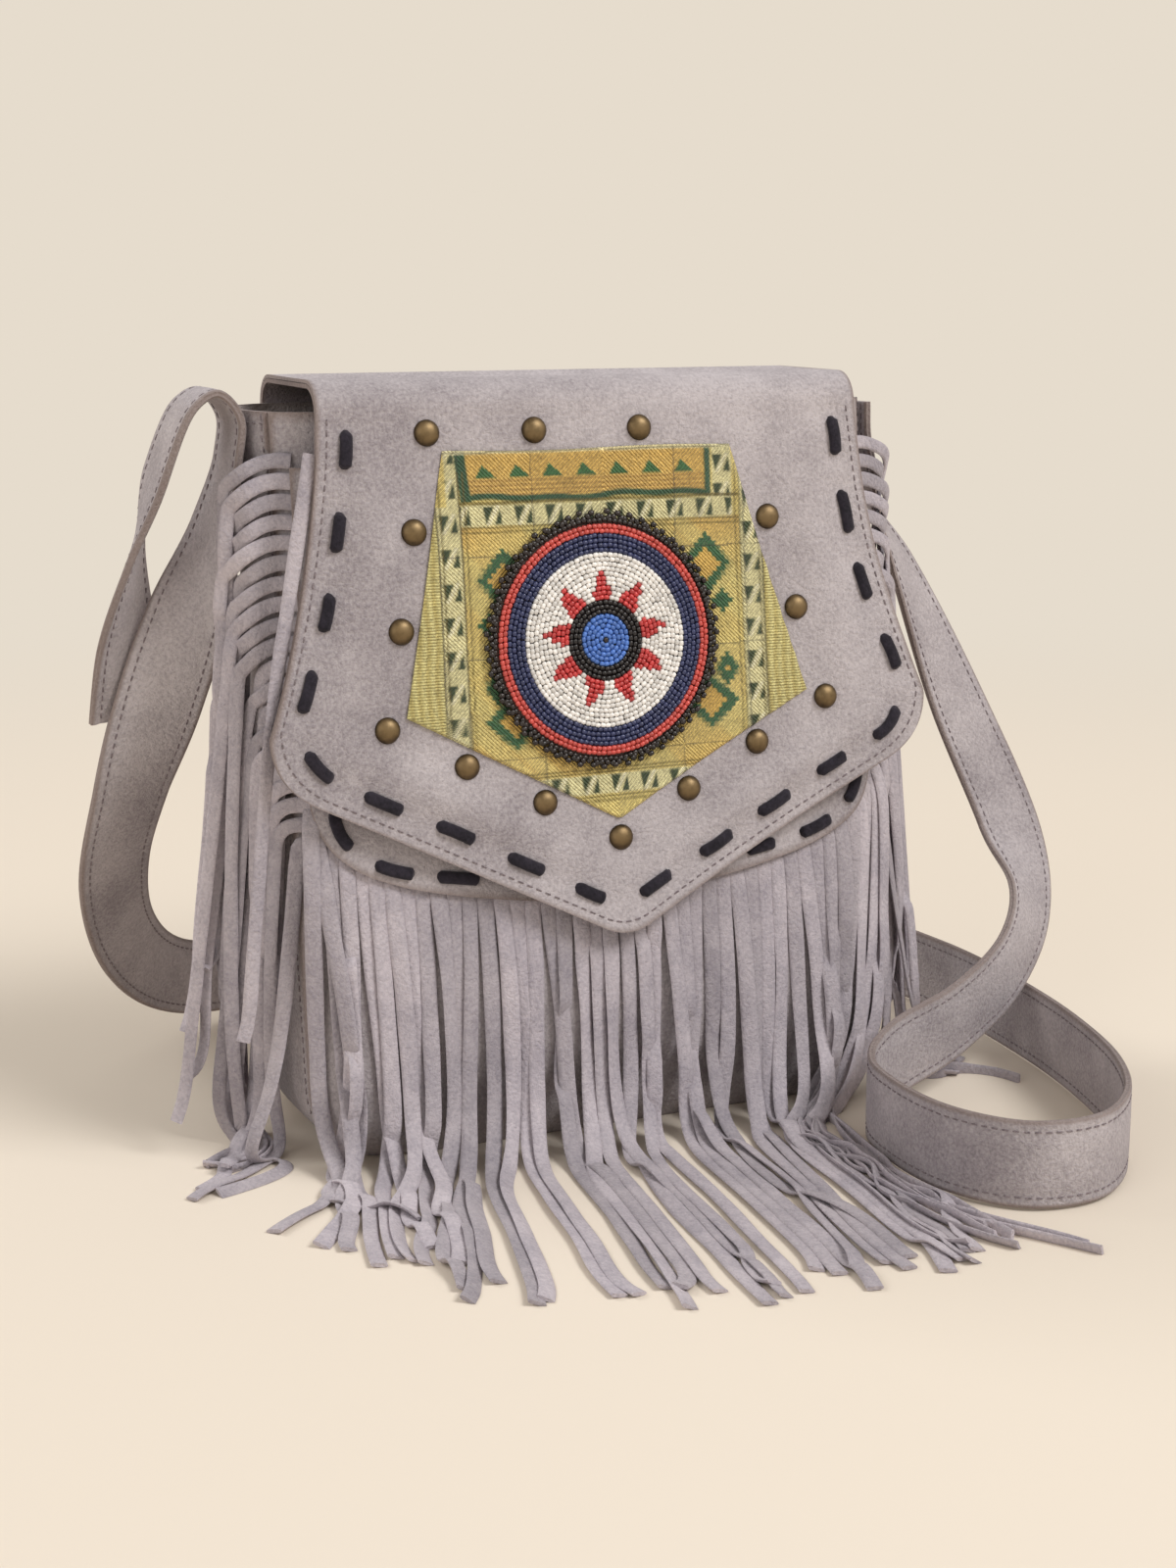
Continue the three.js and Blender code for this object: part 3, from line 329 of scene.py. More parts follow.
# %% World
world = bpy.data.worlds.new("studio")
scene.world = world
world.use_nodes = True
sky_tree = world.node_tree
sky = sky_tree.nodes["Background"]
sky.inputs["Color"].default_value = linear("#f4efe8")
SKY_STRENGTH = 0.46
sky.inputs["Strength"].default_value = SKY_STRENGTH
backdrop = add_node(sky_tree, "ShaderNodeBackground", {"Color": BACKDROP, "Strength": 1.0})
shown = add_node(sky_tree, "ShaderNodeMixShader",
                 {0: seen_directly(sky_tree), 1: sky.outputs[0], 2: backdrop.outputs[0]})
sky_tree.links.new(shown.outputs[0], sky_tree.nodes["World Output"].inputs["Surface"])
print("sky strength", SKY_STRENGTH)

# %% Lamps
BAG_MIDDLE = Vector((0, 0, 0.13))


def add_lamp(name, place, size, power):
    """A square area lamp at a place in metres, turned to the bag, with a power in watts."""
    data = bpy.data.lights.new(name, "AREA")
    data.size = size
    data.energy = power
    lamp = bpy.data.objects.new(name, data)
    lamp.location = place
    lamp.rotation_euler = (BAG_MIDDLE - Vector(place)).to_track_quat("-Z", "Y").to_euler()
    bpy.context.collection.objects.link(lamp)


add_lamp("key", (1.7, -2.1, 2.9), size=1.6, power=95)
add_lamp("fill", (-3.0, -1.6, 1.6), size=2.4, power=24)
add_lamp("back", (-2.3, 2.2, 2.4), size=1.6, power=48)
print("lamps", [lamp.name for lamp in bpy.data.lights])

# %% [markdown]
# ## Suede
# Suede is the flesh side of a hide, buffed until it stands as a short nap. The nap scatters light,
# so there is no shine, only a soft sheen at grazing angles. Handling lays the nap in clouds of
# lighter and darker grey, a fine pebble of about a millimetre shows between them, and the dye is
# a little uneven. All three come from noise whose size is given in millimetres.


# %% Suede finish
CUT_EDGE = "#7c6a60"


def suede(name, light, dark, cloud_mm=60, pebble_mm=1.25, depth=0.85, toned=False):
    """Buffed suede: two greys mixed by clouds, speckled and dented by a fine pebble.

    Each layer of noise has a size, a detail, a roughness, its usual spread and the share it adds.
    The last one, the pebble, also dents the surface. The raw cut edges are browner.
    """
    material, tree, shader = new_material(name)
    where = add_node(tree, "ShaderNodeTexCoord").outputs["Object"]
    clouds = (cloud_mm, 3.0, 0.5, (0.34, 0.66), (0.18, 0.72))
    strokes = (cloud_mm / 4, 3.0, 0.6, (0.3, 0.7), (-0.1, 0.1))
    pebble = (pebble_mm, 2.0, 0.7, (0.3, 0.7), (-0.32, 0.32))
    shade = 0.0
    for size, detail, rough, (low, high), (least, most) in (clouds, strokes, pebble):
        noise = add_node(tree, "ShaderNodeTexNoise", {
            "Vector": where, "Scale": 1000 / size, "Detail": detail, "Roughness": rough})
        share = add_node(tree, "ShaderNodeMapRange",
                         {0: noise.outputs["Fac"], 1: low, 2: high, 3: least, 4: most})
        shade = add_node(tree, "ShaderNodeMath", {0: shade, 1: share.outputs[0]},
                         operation="ADD", use_clamp=True).outputs[0]
    colour = add_node(tree, "ShaderNodeMix", {0: shade, 6: linear(light), 7: linear(dark)},
                      data_type="RGBA").outputs[2]
    grain = add_node(tree, "ShaderNodeBump",
                     {"Height": noise.outputs["Fac"], "Strength": depth, "Distance": 0.8 * MM})
    edge = add_node(tree, "ShaderNodeAttribute", attribute_name="edge").outputs["Fac"]
    worn = add_node(tree, "ShaderNodeMapRange", {0: edge, 1: 0.0, 2: 1.0, 3: 0.0, 4: 0.65})
    finish = add_node(tree, "ShaderNodeMix", {0: worn.outputs[0], 6: colour, 7: linear(CUT_EDGE)},
                      data_type="RGBA").outputs[2]
    if toned:
        tone = add_node(tree, "ShaderNodeAttribute", attribute_name="tone").outputs["Fac"]
        finish = add_node(tree, "ShaderNodeVectorMath", {0: finish, 1: tone},
                          operation="MULTIPLY").outputs[0]
    tree.links.new(finish, shader.inputs["Base Color"])
    tree.links.new(grain.outputs["Normal"], shader.inputs["Normal"])
    shader.inputs["Roughness"].default_value = 0.95
    shader.inputs["Specular IOR Level"].default_value = 0.15
    shader.inputs["Sheen Weight"].default_value = 0.35
    shader.inputs["Sheen Roughness"].default_value = 0.45
    shader.inputs["Sheen Tint"].default_value = linear("#d8d2d4")
    return material


SUEDE = suede("buffed grey suede", "#c3bbbd", "#8f878b")
SUEDE_STRAND = suede("cut suede strand", "#c3babf", "#9c959d", cloud_mm=24, toned=True)
# painted shade: the flap's facing is a darker copy of the same suede, standing in for the shade under
# the flap
SHADED_FACING_SUEDE = suede("suede facing with painted shade", "#9d9294", "#6f686d")
print("suede finishes", [finish.name for finish in (SUEDE, SUEDE_STRAND, SHADED_FACING_SUEDE)])

# %% [markdown]
# ## The strap
# The strap is two strips of suede sewn back to back, 30 mm wide and long enough to wear across the
# body. It leaves the right gusset, hangs, turns over, stands on its edge in a loop on the ground,
# passes behind the bag and rises on the left, where its end is folded over and sewn back on
# itself. Its route is a short list of points, each with the way to the strap's second edge, and a
# centripetal Catmull-Rom curve runs through them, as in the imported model.

# %% Strap route
STRAP_WIDTH = 30.0
STRAP_THICKNESS = 2.8
STRAP_SEAT = 120.2
STRAP_MIDDLE = 13.5
STRAP_EDGE = 16.0
ON_EDGE = (0, 0, -1)
STRAP_ROUTE = [
    ((STRAP_SEAT, STRAP_MIDDLE, 254), (0, 1, 0)),
    ((STRAP_SEAT + 1, STRAP_MIDDLE, 240), (0, 1, 0)),
    ((134, 21, 216), (0.3, 0.94, 0.1)),
    ((149, 20, 190), (0.62, 0.74, 0.25)),
    ((172, 11, 134), (0.88, 0.35, 0.32)),
    ((187, -5, 88), (0.95, 0.2, 0.1)),
    ((184, -26, 62), (0.8, 0.3, -0.5)),
    ((163, -46, 43), (0.4, 0.2, -0.9)),
    ((131, -60, 29), (0.1, 0.1, -1)),
    ((96, -72, 21), ON_EDGE),
    ((79, -86, STRAP_EDGE), ON_EDGE),
    ((72, -114, STRAP_EDGE), ON_EDGE),
    ((76, -146, STRAP_EDGE), ON_EDGE),
    ((92, -167, STRAP_EDGE), ON_EDGE),
    ((116, -170, STRAP_EDGE), ON_EDGE),
    ((138, -155, STRAP_EDGE), ON_EDGE),
    ((157, -124, STRAP_EDGE), ON_EDGE),
    ((170, -80, STRAP_EDGE), ON_EDGE),
    ((177, -30, STRAP_EDGE), ON_EDGE),
    ((178, 25, STRAP_EDGE), ON_EDGE),
    ((166, 80, STRAP_EDGE), ON_EDGE),
    ((128, 124, STRAP_EDGE), ON_EDGE),
    ((70, 146, STRAP_EDGE), ON_EDGE),
    ((0, 154, STRAP_EDGE), ON_EDGE),
    ((-70, 150, STRAP_EDGE), ON_EDGE),
    ((-118, 126, 24), (-0.25, -0.1, -0.95)),
    ((-145, 92, 50), (-0.7, -0.3, -0.65)),
    ((-156, 62, 86), (-0.92, -0.3, -0.25)),
    ((-153, 42, 120), (-0.97, -0.2, -0.1)),
    ((-144, 29, 156), (-0.95, 0.3, -0.05)),
    ((-135, 21, 186), (-0.75, 0.65, 0)),
    ((-126, 17, 214), (-0.3, 0.95, 0)),
    ((-STRAP_SEAT - 1, STRAP_MIDDLE, 240), (0, 1, 0)),
    ((-STRAP_SEAT, STRAP_MIDDLE, 254), (0, 1, 0)),
    ((-STRAP_SEAT - 7, STRAP_MIDDLE, 262), (0, 1, 0)),
    ((-STRAP_SEAT - 15, STRAP_MIDDLE, 258), (0, 1, 0)),
    ((-145, 18, 235), (0, 1, 0)),
    ((-152, 26, 205), (0.35, 0.9, 0)),
    ((-154, 34, 176), (0.75, 0.6, 0)),
    ((-153, 41, 148), (0.95, 0.25, 0)),
]
print("places on the strap's route", len(STRAP_ROUTE))


# %% Strap as a smooth curve
def catmull_rom(points, per_span):
    """A centripetal Catmull-Rom curve: knots lie apart by the root of the points' distance."""
    ends = [2 * points[0] - points[1], *points, 2 * points[-1] - points[-2]]
    p = np.stack([ends[0:-3], ends[1:-2], ends[2:-1], ends[3:]], 1)[:, :, None]
    gaps = np.maximum(np.linalg.norm(np.diff(p[:, :, 0], axis=1), axis=-1) ** 0.5, 1e-4)
    k = np.concatenate([np.zeros((len(gaps), 1)), np.cumsum(gaps, 1)], 1)[:, :, None, None]
    t = k[:, 1] + (k[:, 2] - k[:, 1]) * (np.arange(per_span) / per_span)[None, :, None]
    a = [((k[:, i + 1] - t) * p[:, i] + (t - k[:, i]) * p[:, i + 1]) / (k[:, i + 1] - k[:, i])
         for i in range(3)]
    b = [((k[:, i + 2] - t) * a[i] + (t - k[:, i]) * a[i + 1]) / (k[:, i + 2] - k[:, i])
         for i in range(2)]
    curve = ((k[:, 2] - t) * b[0] + (t - k[:, 1]) * b[1]) / (k[:, 2] - k[:, 1])
    return np.concatenate([curve.reshape(-1, points.shape[1]), points[-1:]])


def frames_along(centres, hint):
    """Across and out directions of a line whose second edge lies roughly the hinted way."""
    along = unit_vectors(np.gradient(centres, axis=0))
    across = unit_vectors(hint - np.sum(hint * along, 1, keepdims=True) * along)
    return across, np.cross(along, across)


strap_points = np.array([place for place, _ in STRAP_ROUTE], float)
strap_hints = unit_vectors(np.array([way for _, way in STRAP_ROUTE], float))
STRAP_STEPS = 12
strap_line = catmull_rom(strap_points, STRAP_STEPS)
strap_hint = catmull_rom(strap_hints, STRAP_STEPS)
strap_across, strap_out = frames_along(strap_line, strap_hint)

# %% [markdown]
# Sewing pulls the two layers together along a line near each edge, so the strap's section is a
# flat lens with a shallow valley at each stitch line and a groove where the layers meet.

# %% Strap and its thread
STITCH_INSET = 3.6
STITCH_PITCH = 3.6
STITCH_VALLEY = 0.72


def sewn_profile(width, thickness):
    """The section of two sewn layers: one face from edge to edge, then its mirror below."""
    half, deep = width / 2, thickness / 2
    face = np.array([
        (-half + 0.25, 0.1 * deep), (-half, 0.5 * deep), (-half + 0.5, 0.92 * deep),
        (-half + 1.8, deep), (-half + STITCH_INSET, STITCH_VALLEY * deep),
        (-half + 5.6, 1.02 * deep), (-half / 3, 1.06 * deep),
    ])
    mirrored = face[::-1] * (-1, 1)
    top = np.concatenate([face, mirrored])
    return np.concatenate([top, top[::-1] * (1, -1)])[::-1]


THREAD_RADIUS = 0.32
STITCH_SHARE = 0.62
STITCH = rod(np.array([(0.35, -0.5), (1.0, -0.38), (1.0, 0.38), (0.35, 0.5)])
             * (THREAD_RADIUS, STITCH_PITCH * STITCH_SHARE), around=5)


def stitches_along(line, across, out):
    """A row of thread stitches lying on a line, each a small rod that points along it."""
    run = run_along(line)
    marks = np.arange(STITCH_PITCH / 2, run[-1], STITCH_PITCH)
    up = unit_vectors(at_marks(marks, run, out))
    along = unit_vectors(np.cross(at_marks(marks, run, across), up))
    axes = np.stack([along, np.cross(up, along), up], 1)
    return scatter(STITCH, at_marks(marks, run, line), axes)


def twisted_thread(name, light, dark, twist_mm=0.7):
    """Sewing thread: a slight gloss, and a light and dark twist, so no row looks drawn."""
    material, tree, shader = new_material(name)
    where = add_node(tree, "ShaderNodeTexCoord").outputs["Object"]
    twist = add_node(tree, "ShaderNodeTexNoise",
                     {"Vector": where, "Scale": 1000 / twist_mm, "Detail": 1.0})
    share = add_node(tree, "ShaderNodeMapRange",
                     {0: twist.outputs["Fac"], 1: 0.35, 2: 0.65, 3: 0.0, 4: 1.0})
    colour = add_node(tree, "ShaderNodeMix",
                      {0: share.outputs[0], 6: linear(light), 7: linear(dark)}, data_type="RGBA")
    tree.links.new(colour.outputs[2], shader.inputs["Base Color"])
    shader.inputs["Roughness"].default_value = 0.6
    return material


strap_section = sewn_profile(STRAP_WIDTH, STRAP_THICKNESS)
strap_shape = strip(strap_line, strap_across, strap_out, strap_section)
strap_band = add_piece("strap_band", strap_shape, SUEDE, "bag", replaces=["strap"])
strap_rims = (np.abs(strap_section[:, 0]) > STRAP_WIDTH / 2 - 0.6) * 1.0
paint_points(strap_band, "edge", np.tile(strap_rims, len(strap_line)))
strap_rows = []
for side in (-1, 1):
    for face in (-1, 1):
        reach = side * (STRAP_WIDTH / 2 - STITCH_INSET)
        rise = face * (STITCH_VALLEY * STRAP_THICKNESS / 2 + THREAD_RADIUS * 0.4)
        thread_line = strap_line + reach * strap_across + rise * strap_out
        strap_rows.append(stitches_along(thread_line, strap_across, face * strap_out))
THREAD = twisted_thread("grey polyester thread", "#8a7e81", "#675d61")
strap_thread = add_piece("strap_thread", join(strap_rows), THREAD, "bag")

# %% [markdown]
# ## The body
# The front, the back and the gusset are three pieces of suede sewn edge to edge. The front leans
# back towards the top, and what is carried pushes it out low down, so it is a swelling sheet and
# not a board. One function gives a point in front of that sheet, at a distance out from it, and
# everything that lies on the front is placed by it. So the yoke, the lacing, the flap and its
# trimmings all follow the same belly and the same shallow dents.

# %% The leaning front as a surface
BODY_HALF = 112.0
BODY_TOP = 256.0
BASE_HALF_DEPTH = 45.0
TOP_DEPTH = 54.0
BACK_SLOPE = math.tan(math.radians(1))
FRONT_SLOPE = (2 * BASE_HALF_DEPTH - TOP_DEPTH) / BODY_TOP - BACK_SLOPE
FRONT_COS = 1 / math.hypot(1, FRONT_SLOPE)
FRONT_NORMAL = np.array([0, -FRONT_COS, FRONT_COS * FRONT_SLOPE])
CORNER_RADIUS = 26.0
SUEDE_WALL = 1.6
BELLY_DEPTH = 7.0
BELLY_HEIGHT = 48.0
FRONT_DENT, FRONT_DENT_SIZE = 0.8, 95


def dents(a, b, size):
    """Shallow dents from -1 to 1: three crossing waves of unequal length, distances in mm."""
    first = np.sin(2 * np.pi * (0.8 * a + 0.3 * b) / size + 0.7)
    second = np.sin(2 * np.pi * 1.3 * (-0.45 * a + 0.9 * b) / size + 2.1)
    third = np.sin(2 * np.pi * 1.9 * (0.3 * a - 0.7 * b) / size + 4.0)
    return (first + second + third) / 3


def belly(x, z):
    """How far the filled front swells: a bell low down that dies out at the sides and base."""
    bell = np.exp(-((z - BELLY_HEIGHT) / BELLY_HEIGHT) ** 2) * smoothstep(z, 0, 32)
    inside = np.clip(1 - (x / BODY_HALF) ** 2, 0, 1)
    dent = FRONT_DENT * dents(x, z, FRONT_DENT_SIZE) * smoothstep(z, 10, 50)
    return inside * (BELLY_DEPTH * bell + dent)


def on_front(x, z, out):
    """Points in front of the body: x across, z above the ground, out from the swelling front."""
    y = -BASE_HALF_DEPTH + z * FRONT_SLOPE - (out + belly(x, z)) / FRONT_COS
    return np.stack(np.broadcast_arrays(x, y, z), -1)


def half_width(z):
    """Half the body's width at a height: full above, a quarter circle over each lower corner."""
    dip = np.clip(CORNER_RADIUS - z, 0, CORNER_RADIUS)
    return BODY_HALF - CORNER_RADIUS + np.sqrt(CORNER_RADIUS ** 2 - dip ** 2)


print("front leans back by", round(math.degrees(math.atan(FRONT_SLOPE)), 2), "degrees")

# %% Borders that turn in, and the back as a surface
ROLL_DEPTH = 7.0
ROLL_WIDTH = 16.0
BACK_SLUMP = 6.0
BACK_DENT, BACK_DENT_SIZE = 0.9, 110


def roll(x, z):
    """How far a panel's border turns in to the gusset: a parabola over its last millimetres."""
    side = np.clip(1 - (half_width(z) - np.abs(x)) / ROLL_WIDTH, 0, 1)
    base = np.clip(1 - z / ROLL_WIDTH, 0, 1)
    return ROLL_DEPTH * np.minimum(side ** 2 + base ** 2, 1.4)


def on_panel(x, z, out):
    """Points in front of the sewn front panel, whose borders turn in."""
    return on_front(x, z, out - roll(x, z))


# x and z of the middle, angle in degrees, length, width and height of each fold
BACK_FOLDS = [
    (-62, 62, 35, 60, 13, 4.0), (58, 74, -42, 55, 12, 3.6), (0, 40, 4, 75, 14, -3.6),
    (-34, 186, -22, 60, 15, -3.6), (52, 176, 28, 60, 13, 3.0), (-84, 128, 80, 52, 12, -3.0),
]


def folds(x, z, places):
    """Soft folds: each a bell across a line through its middle, fading out along that line."""
    total = 0.0
    for middle_x, middle_z, degrees, length, width, height in places:
        turn = math.radians(degrees)
        along = (x - middle_x) * math.cos(turn) + (z - middle_z) * math.sin(turn)
        beside = (z - middle_z) * math.cos(turn) - (x - middle_x) * math.sin(turn)
        total = total + height * np.exp(-(along / length) ** 2 - (beside / width) ** 2)
    return total


def on_back(x, z, out):
    """Points behind the body, where the back slumps out between its seams in soft folds."""
    inside = np.clip(1 - (x / BODY_HALF) ** 2, 0, 1)
    slump = BACK_SLUMP * np.sin(np.pi * np.clip(z / 240, 0, 1))
    slump = inside * (slump + BACK_DENT * dents(x, z, BACK_DENT_SIZE) + folds(x, z, BACK_FOLDS))
    slump = slump * smoothstep(z, 0, 30) * smoothstep(-z, -250, -205)
    y = BASE_HALF_DEPTH - z * BACK_SLOPE + out + slump - roll(x, z)
    return np.stack(np.broadcast_arrays(x, y, z), -1)


print("the back has", len(BACK_FOLDS), "folds and slumps out by", BACK_SLUMP, "mm")


# %% Front and back panels
def rim_of(size, layers):
    """1 on the border of a grid and 0 inside, for each layer: the raw cut edge of the suede."""
    rim = np.ones(size)
    rim[1:-1, 1:-1] = 0
    return np.tile(rim.ravel(), layers)


PANEL_ROWS = 84
PANEL_COLUMNS = 120


def panel(surface, top, turn):
    """A panel as a closed sheet: rows up from the base, closer over the rounded corners."""
    height = top * np.linspace(0, 1, PANEL_ROWS)[:, None] ** 1.4
    across = turn * np.linspace(-1, 1, PANEL_COLUMNS)[None] * half_width(height)
    return closed_sheet(surface(across, height, 0.0), surface(across, height, -SUEDE_WALL))


BACK_TOP = 256.4
front_wall = add_piece("front_wall", panel(on_panel, BODY_TOP, 1), SUEDE, "bag",
                       replaces=["front_panel"])
back_wall = add_piece("back_wall", panel(on_back, BACK_TOP, -1), SUEDE, "bag",
                      replaces=["back_panel"])
for wall in (front_wall, back_wall):
    paint_points(wall, "edge", rim_of((PANEL_ROWS, PANEL_COLUMNS), 2))

# %% [markdown]
# The gusset is one strip that goes down the left side, under the base and up the right side. Its
# sides bow out between the seams, and each upper end is turned over into a hem, which is the tab
# that shows beside the flap. A row of stitches follows each seam, a few millimetres from it.

# %% Gusset
GUSSET_BOW = 5.0
HEM_HEIGHT = 14.0
HEM_THICKNESS = 1.2
GUSSET_COLUMNS = 28
SIDE_ROWS, CORNER_ROWS, BASE_ROWS = 60, 12, 20


def gusset_route():
    """The strip's line seen from the front, left to right, and its outward directions."""
    side = np.linspace(BODY_TOP, CORNER_RADIUS, SIDE_ROWS)
    turn = np.linspace(0, np.pi / 2, CORNER_ROWS)[1:]
    reach = BODY_HALF - CORNER_RADIUS
    x = np.concatenate([np.full(SIDE_ROWS, BODY_HALF), reach + CORNER_RADIUS * np.cos(turn)])
    z = np.concatenate([side, CORNER_RADIUS * (1 - np.sin(turn))])
    nx = np.concatenate([np.ones(SIDE_ROWS), np.cos(turn)])
    nz = np.concatenate([np.zeros(SIDE_ROWS), -np.sin(turn)])
    right = np.stack([x, z, nx, nz], -1)
    base = np.broadcast_to((0.0, 0.0, 0.0, -1.0), (BASE_ROWS, 4)).copy()
    base[:, 0] = np.linspace(-reach, reach, BASE_ROWS + 2)[1:-1]
    return np.concatenate([right * (-1, 1, -1, 1), base, right[::-1]])


def gusset_swell(side, z, share):
    """How far a side of the gusset stands out: a bow between its seams, with soft dents in it."""
    bow = (0.5 + 0.5 * smoothstep(z, BODY_TOP / 3, BODY_TOP)) * 4 * share * (1 - share)
    soft = np.sin(np.pi * share) * (1 + dents(z + 300 * side, 90 * share, 90))
    return GUSSET_BOW * bow + 1.7 * soft * smoothstep(z, 12, 60) * smoothstep(-z, -235, -180)


def gusset_sheet(inset):
    """The gusset at a distance in from its outer face, rows along it and columns front to back."""
    x, z, nx, nz = gusset_route().T[:, :, None]
    share = np.linspace(0, 1, GUSSET_COLUMNS)[None]
    hem_foot = BODY_TOP - HEM_HEIGHT
    hem = HEM_THICKNESS * smoothstep(z, hem_foot - 0.8, hem_foot) * (inset == 0)
    out = gusset_swell(np.sign(x), z, share) + hem - inset
    across, height = x + nx * out, z + nz * np.minimum(out, 0)
    front, back = (wall(x, height, -SUEDE_WALL - 0.2)[..., 1] for wall in (on_panel, on_back))
    return np.stack([across, front + (back - front) * share, height + 0 * share], -1)


gusset_face = gusset_sheet(0.0)
gusset_wall = add_piece("gusset_wall", closed_sheet(gusset_face, gusset_sheet(SUEDE_WALL)), SUEDE,
                        "bag", replaces=["gusset"])
paint_points(gusset_wall, "edge", rim_of(gusset_face.shape[:2], 2))


# %% Threads of the hems and the seams
hem_rows = []
for side, row in ((-1, 1), (1, -2)):
    hem_line = gusset_face[row] + (side * 0.3, 0, 0)
    hem_out = np.broadcast_to((float(side), 0.0, 0.0), hem_line.shape)
    hem_up = np.broadcast_to((0.0, 0.0, 1.0), hem_line.shape)
    hem_rows.append(stitches_along(hem_line, hem_up, hem_out))


def seam_row(line, out):
    """Stitches along a line of points whose outward directions are given."""
    along = unit_vectors(np.gradient(line, axis=0))
    return stitches_along(line, np.cross(out, along), out)


SEAM_INSET = 3.8
SEAM_ROWS = 68
route_x, route_z, route_nx, route_nz = gusset_route().T
seam_tilt = 2 * ROLL_DEPTH / ROLL_WIDTH * (1 - SEAM_INSET / ROLL_WIDTH)
seam_out = np.stack([seam_tilt * route_nx, 1 + 0 * route_nx, seam_tilt * route_nz], -1)
seam_line = on_back(route_x - SEAM_INSET * route_nx, route_z - SEAM_INSET * route_nz, 0.1)
seam_rows = [seam_row(seam_line, unit_vectors(seam_out))]
for rows, side in ((slice(0, SEAM_ROWS), -1.0), (slice(-SEAM_ROWS, None), 1.0)):
    for column in (1, -2):
        side_line = gusset_face[rows, column] + (side * 0.15, 0, 0)
        seam_rows.append(seam_row(side_line, np.broadcast_to((side, 0.0, 0.0), side_line.shape)))
add_piece("seam_thread", join(seam_rows), THREAD, "bag")
add_piece("hem_thread", join(hem_rows), THREAD, "bag")

# %% [markdown]
# Inside hangs a cotton pouch. It is a loft of rounded rectangles, one for each height, closed at
# the base and open at the top, and a Solidify modifier gives the cloth its thickness.

# %% Lining
LINING_INSET = 2.6
LINING_TOP = 253.0
LINING_SQUARE = 0.22
LINING_CLOTH = 0.8


def lining_pouch(rows=48, columns=96):
    """Rings of a superellipse that grow from the base's middle and then rise along the walls."""
    rise = np.concatenate([np.zeros(8), np.linspace(0, 1, rows - 8)])[:, None]
    grow = np.concatenate([np.linspace(0.02, 1, 9)[:-1], np.ones(rows - 8)])[:, None]
    height = LINING_INSET + (LINING_TOP - LINING_INSET) * rise ** 1.3
    turn = np.linspace(0, 2 * np.pi, columns, endpoint=False)[None]
    beside, behind = squared(np.cos(turn), LINING_SQUARE), squared(np.sin(turn), LINING_SQUARE)
    across = grow * (half_width(height) - LINING_INSET - 0.4) * beside
    front, back = (wall(across, height, -LINING_INSET - 0.3)[..., 1]
                   for wall in (on_panel, on_back))
    depth = (front + back) / 2 + grow * (back - front) / 2 * behind
    points = np.stack([across, depth, height + 0 * turn], -1).reshape(-1, 3)
    return points, grid_quads(rows, columns, around=True), [np.arange(columns)[::-1]]


THREAD_SPACING = 1.1  # real cotton has about 0.5 mm, which is too fine to show


def woven_cotton(name, valley, thread):
    """Plain woven cotton: matt, with a faint grid where threads go up and down, and painted shade in
    the valleys between them.
    """
    material, tree, shader = new_material(name)
    where = add_node(tree, "ShaderNodeTexCoord").outputs["Object"]
    bands = {"Vector": where, "Scale": 1000 / THREAD_SPACING / 6.28, "Distortion": 0.4}
    warp, weft = (add_node(tree, "ShaderNodeTexWave", bands, bands_direction=way).outputs["Fac"]
                  for way in ("X", "Z"))
    cross = add_node(tree, "ShaderNodeMath", {0: warp, 1: weft}, operation="MAXIMUM").outputs[0]
    # painted shade: the valley colour darkens the low parts of the weave, where the bump dips
    tone = add_node(tree, "ShaderNodeMix", {0: cross, 6: linear(valley), 7: linear(thread)},
                    data_type="RGBA")
    relief = add_node(tree, "ShaderNodeBump",
                      {"Height": cross, "Strength": 0.3, "Distance": 0.3 * MM})
    tree.links.new(tone.outputs[2], shader.inputs["Base Color"])
    tree.links.new(relief.outputs["Normal"], shader.inputs["Normal"])
    shader.inputs["Roughness"].default_value = 0.9
    return material


COTTON = woven_cotton("plain woven cotton", "#a08f72", "#bfae8f")
lining = add_piece("cotton_pouch", lining_pouch(), COTTON, "bag", replaces=["lining"])
lining_cloth = lining.modifiers.new("cloth", "SOLIDIFY")
lining_cloth.thickness = LINING_CLOTH * MM
lining_cloth.offset = 1.0

# %% [markdown]
# ## The yoke
# A yoke with a curved lower edge covers the upper front. The fringe is sewn in under that edge,
# and a black lace runs along it. A patch between four edge curves (a Coons patch) fills the
# outline: it mixes the top and bottom edges, adds the mix of the side edges, and takes away what
# was counted twice.


# %% Coons patch and the yoke
def coons(top, bottom, left, right):
    """Points between four edge curves: top and bottom to the right, left and right downwards."""
    across = np.linspace(0, 1, len(top))[None, :, None]
    down = np.linspace(0, 1, len(left))[:, None, None]
    ruled = (1 - down) * top[None] + down * bottom[None]
    crossed = (1 - across) * left[:, None] + across * right[:, None]
    corners = (1 - down) * ((1 - across) * top[0] + across * top[-1])
    corners = corners + down * ((1 - across) * bottom[0] + across * bottom[-1])
    return ruled + crossed - corners


YOKE_HALF = 108.0
YOKE_TOP = 238.0
YOKE_SIDE = 128.0
YOKE_LOW = 84.0
YOKE_OUT = (2.8, 4.0)


def yoke_edge(inset, count=200):
    """The yoke's lower edge, drawn in: two Bezier curves that meet in the middle."""
    side, low, drop = YOKE_HALF - inset, YOKE_LOW + inset, YOKE_SIDE - YOKE_LOW
    pulls = [(-side, YOKE_SIDE - 0.64 * drop), (-0.74 * side, low + 0.18 * drop)]
    left = bezier([(-side, YOKE_SIDE), *pulls, (0, low)], 60)
    return resample(np.concatenate([left, (left * (-1, 1))[-2::-1]]), count)


def sheet_on(surface, outline, out):
    """A closed sheet of suede over a patch of (x, z) points, between two distances out."""
    x, z = outline[..., 0], outline[..., 1]
    return closed_sheet(surface(x, z, out[1]), surface(x, z, out[0]))


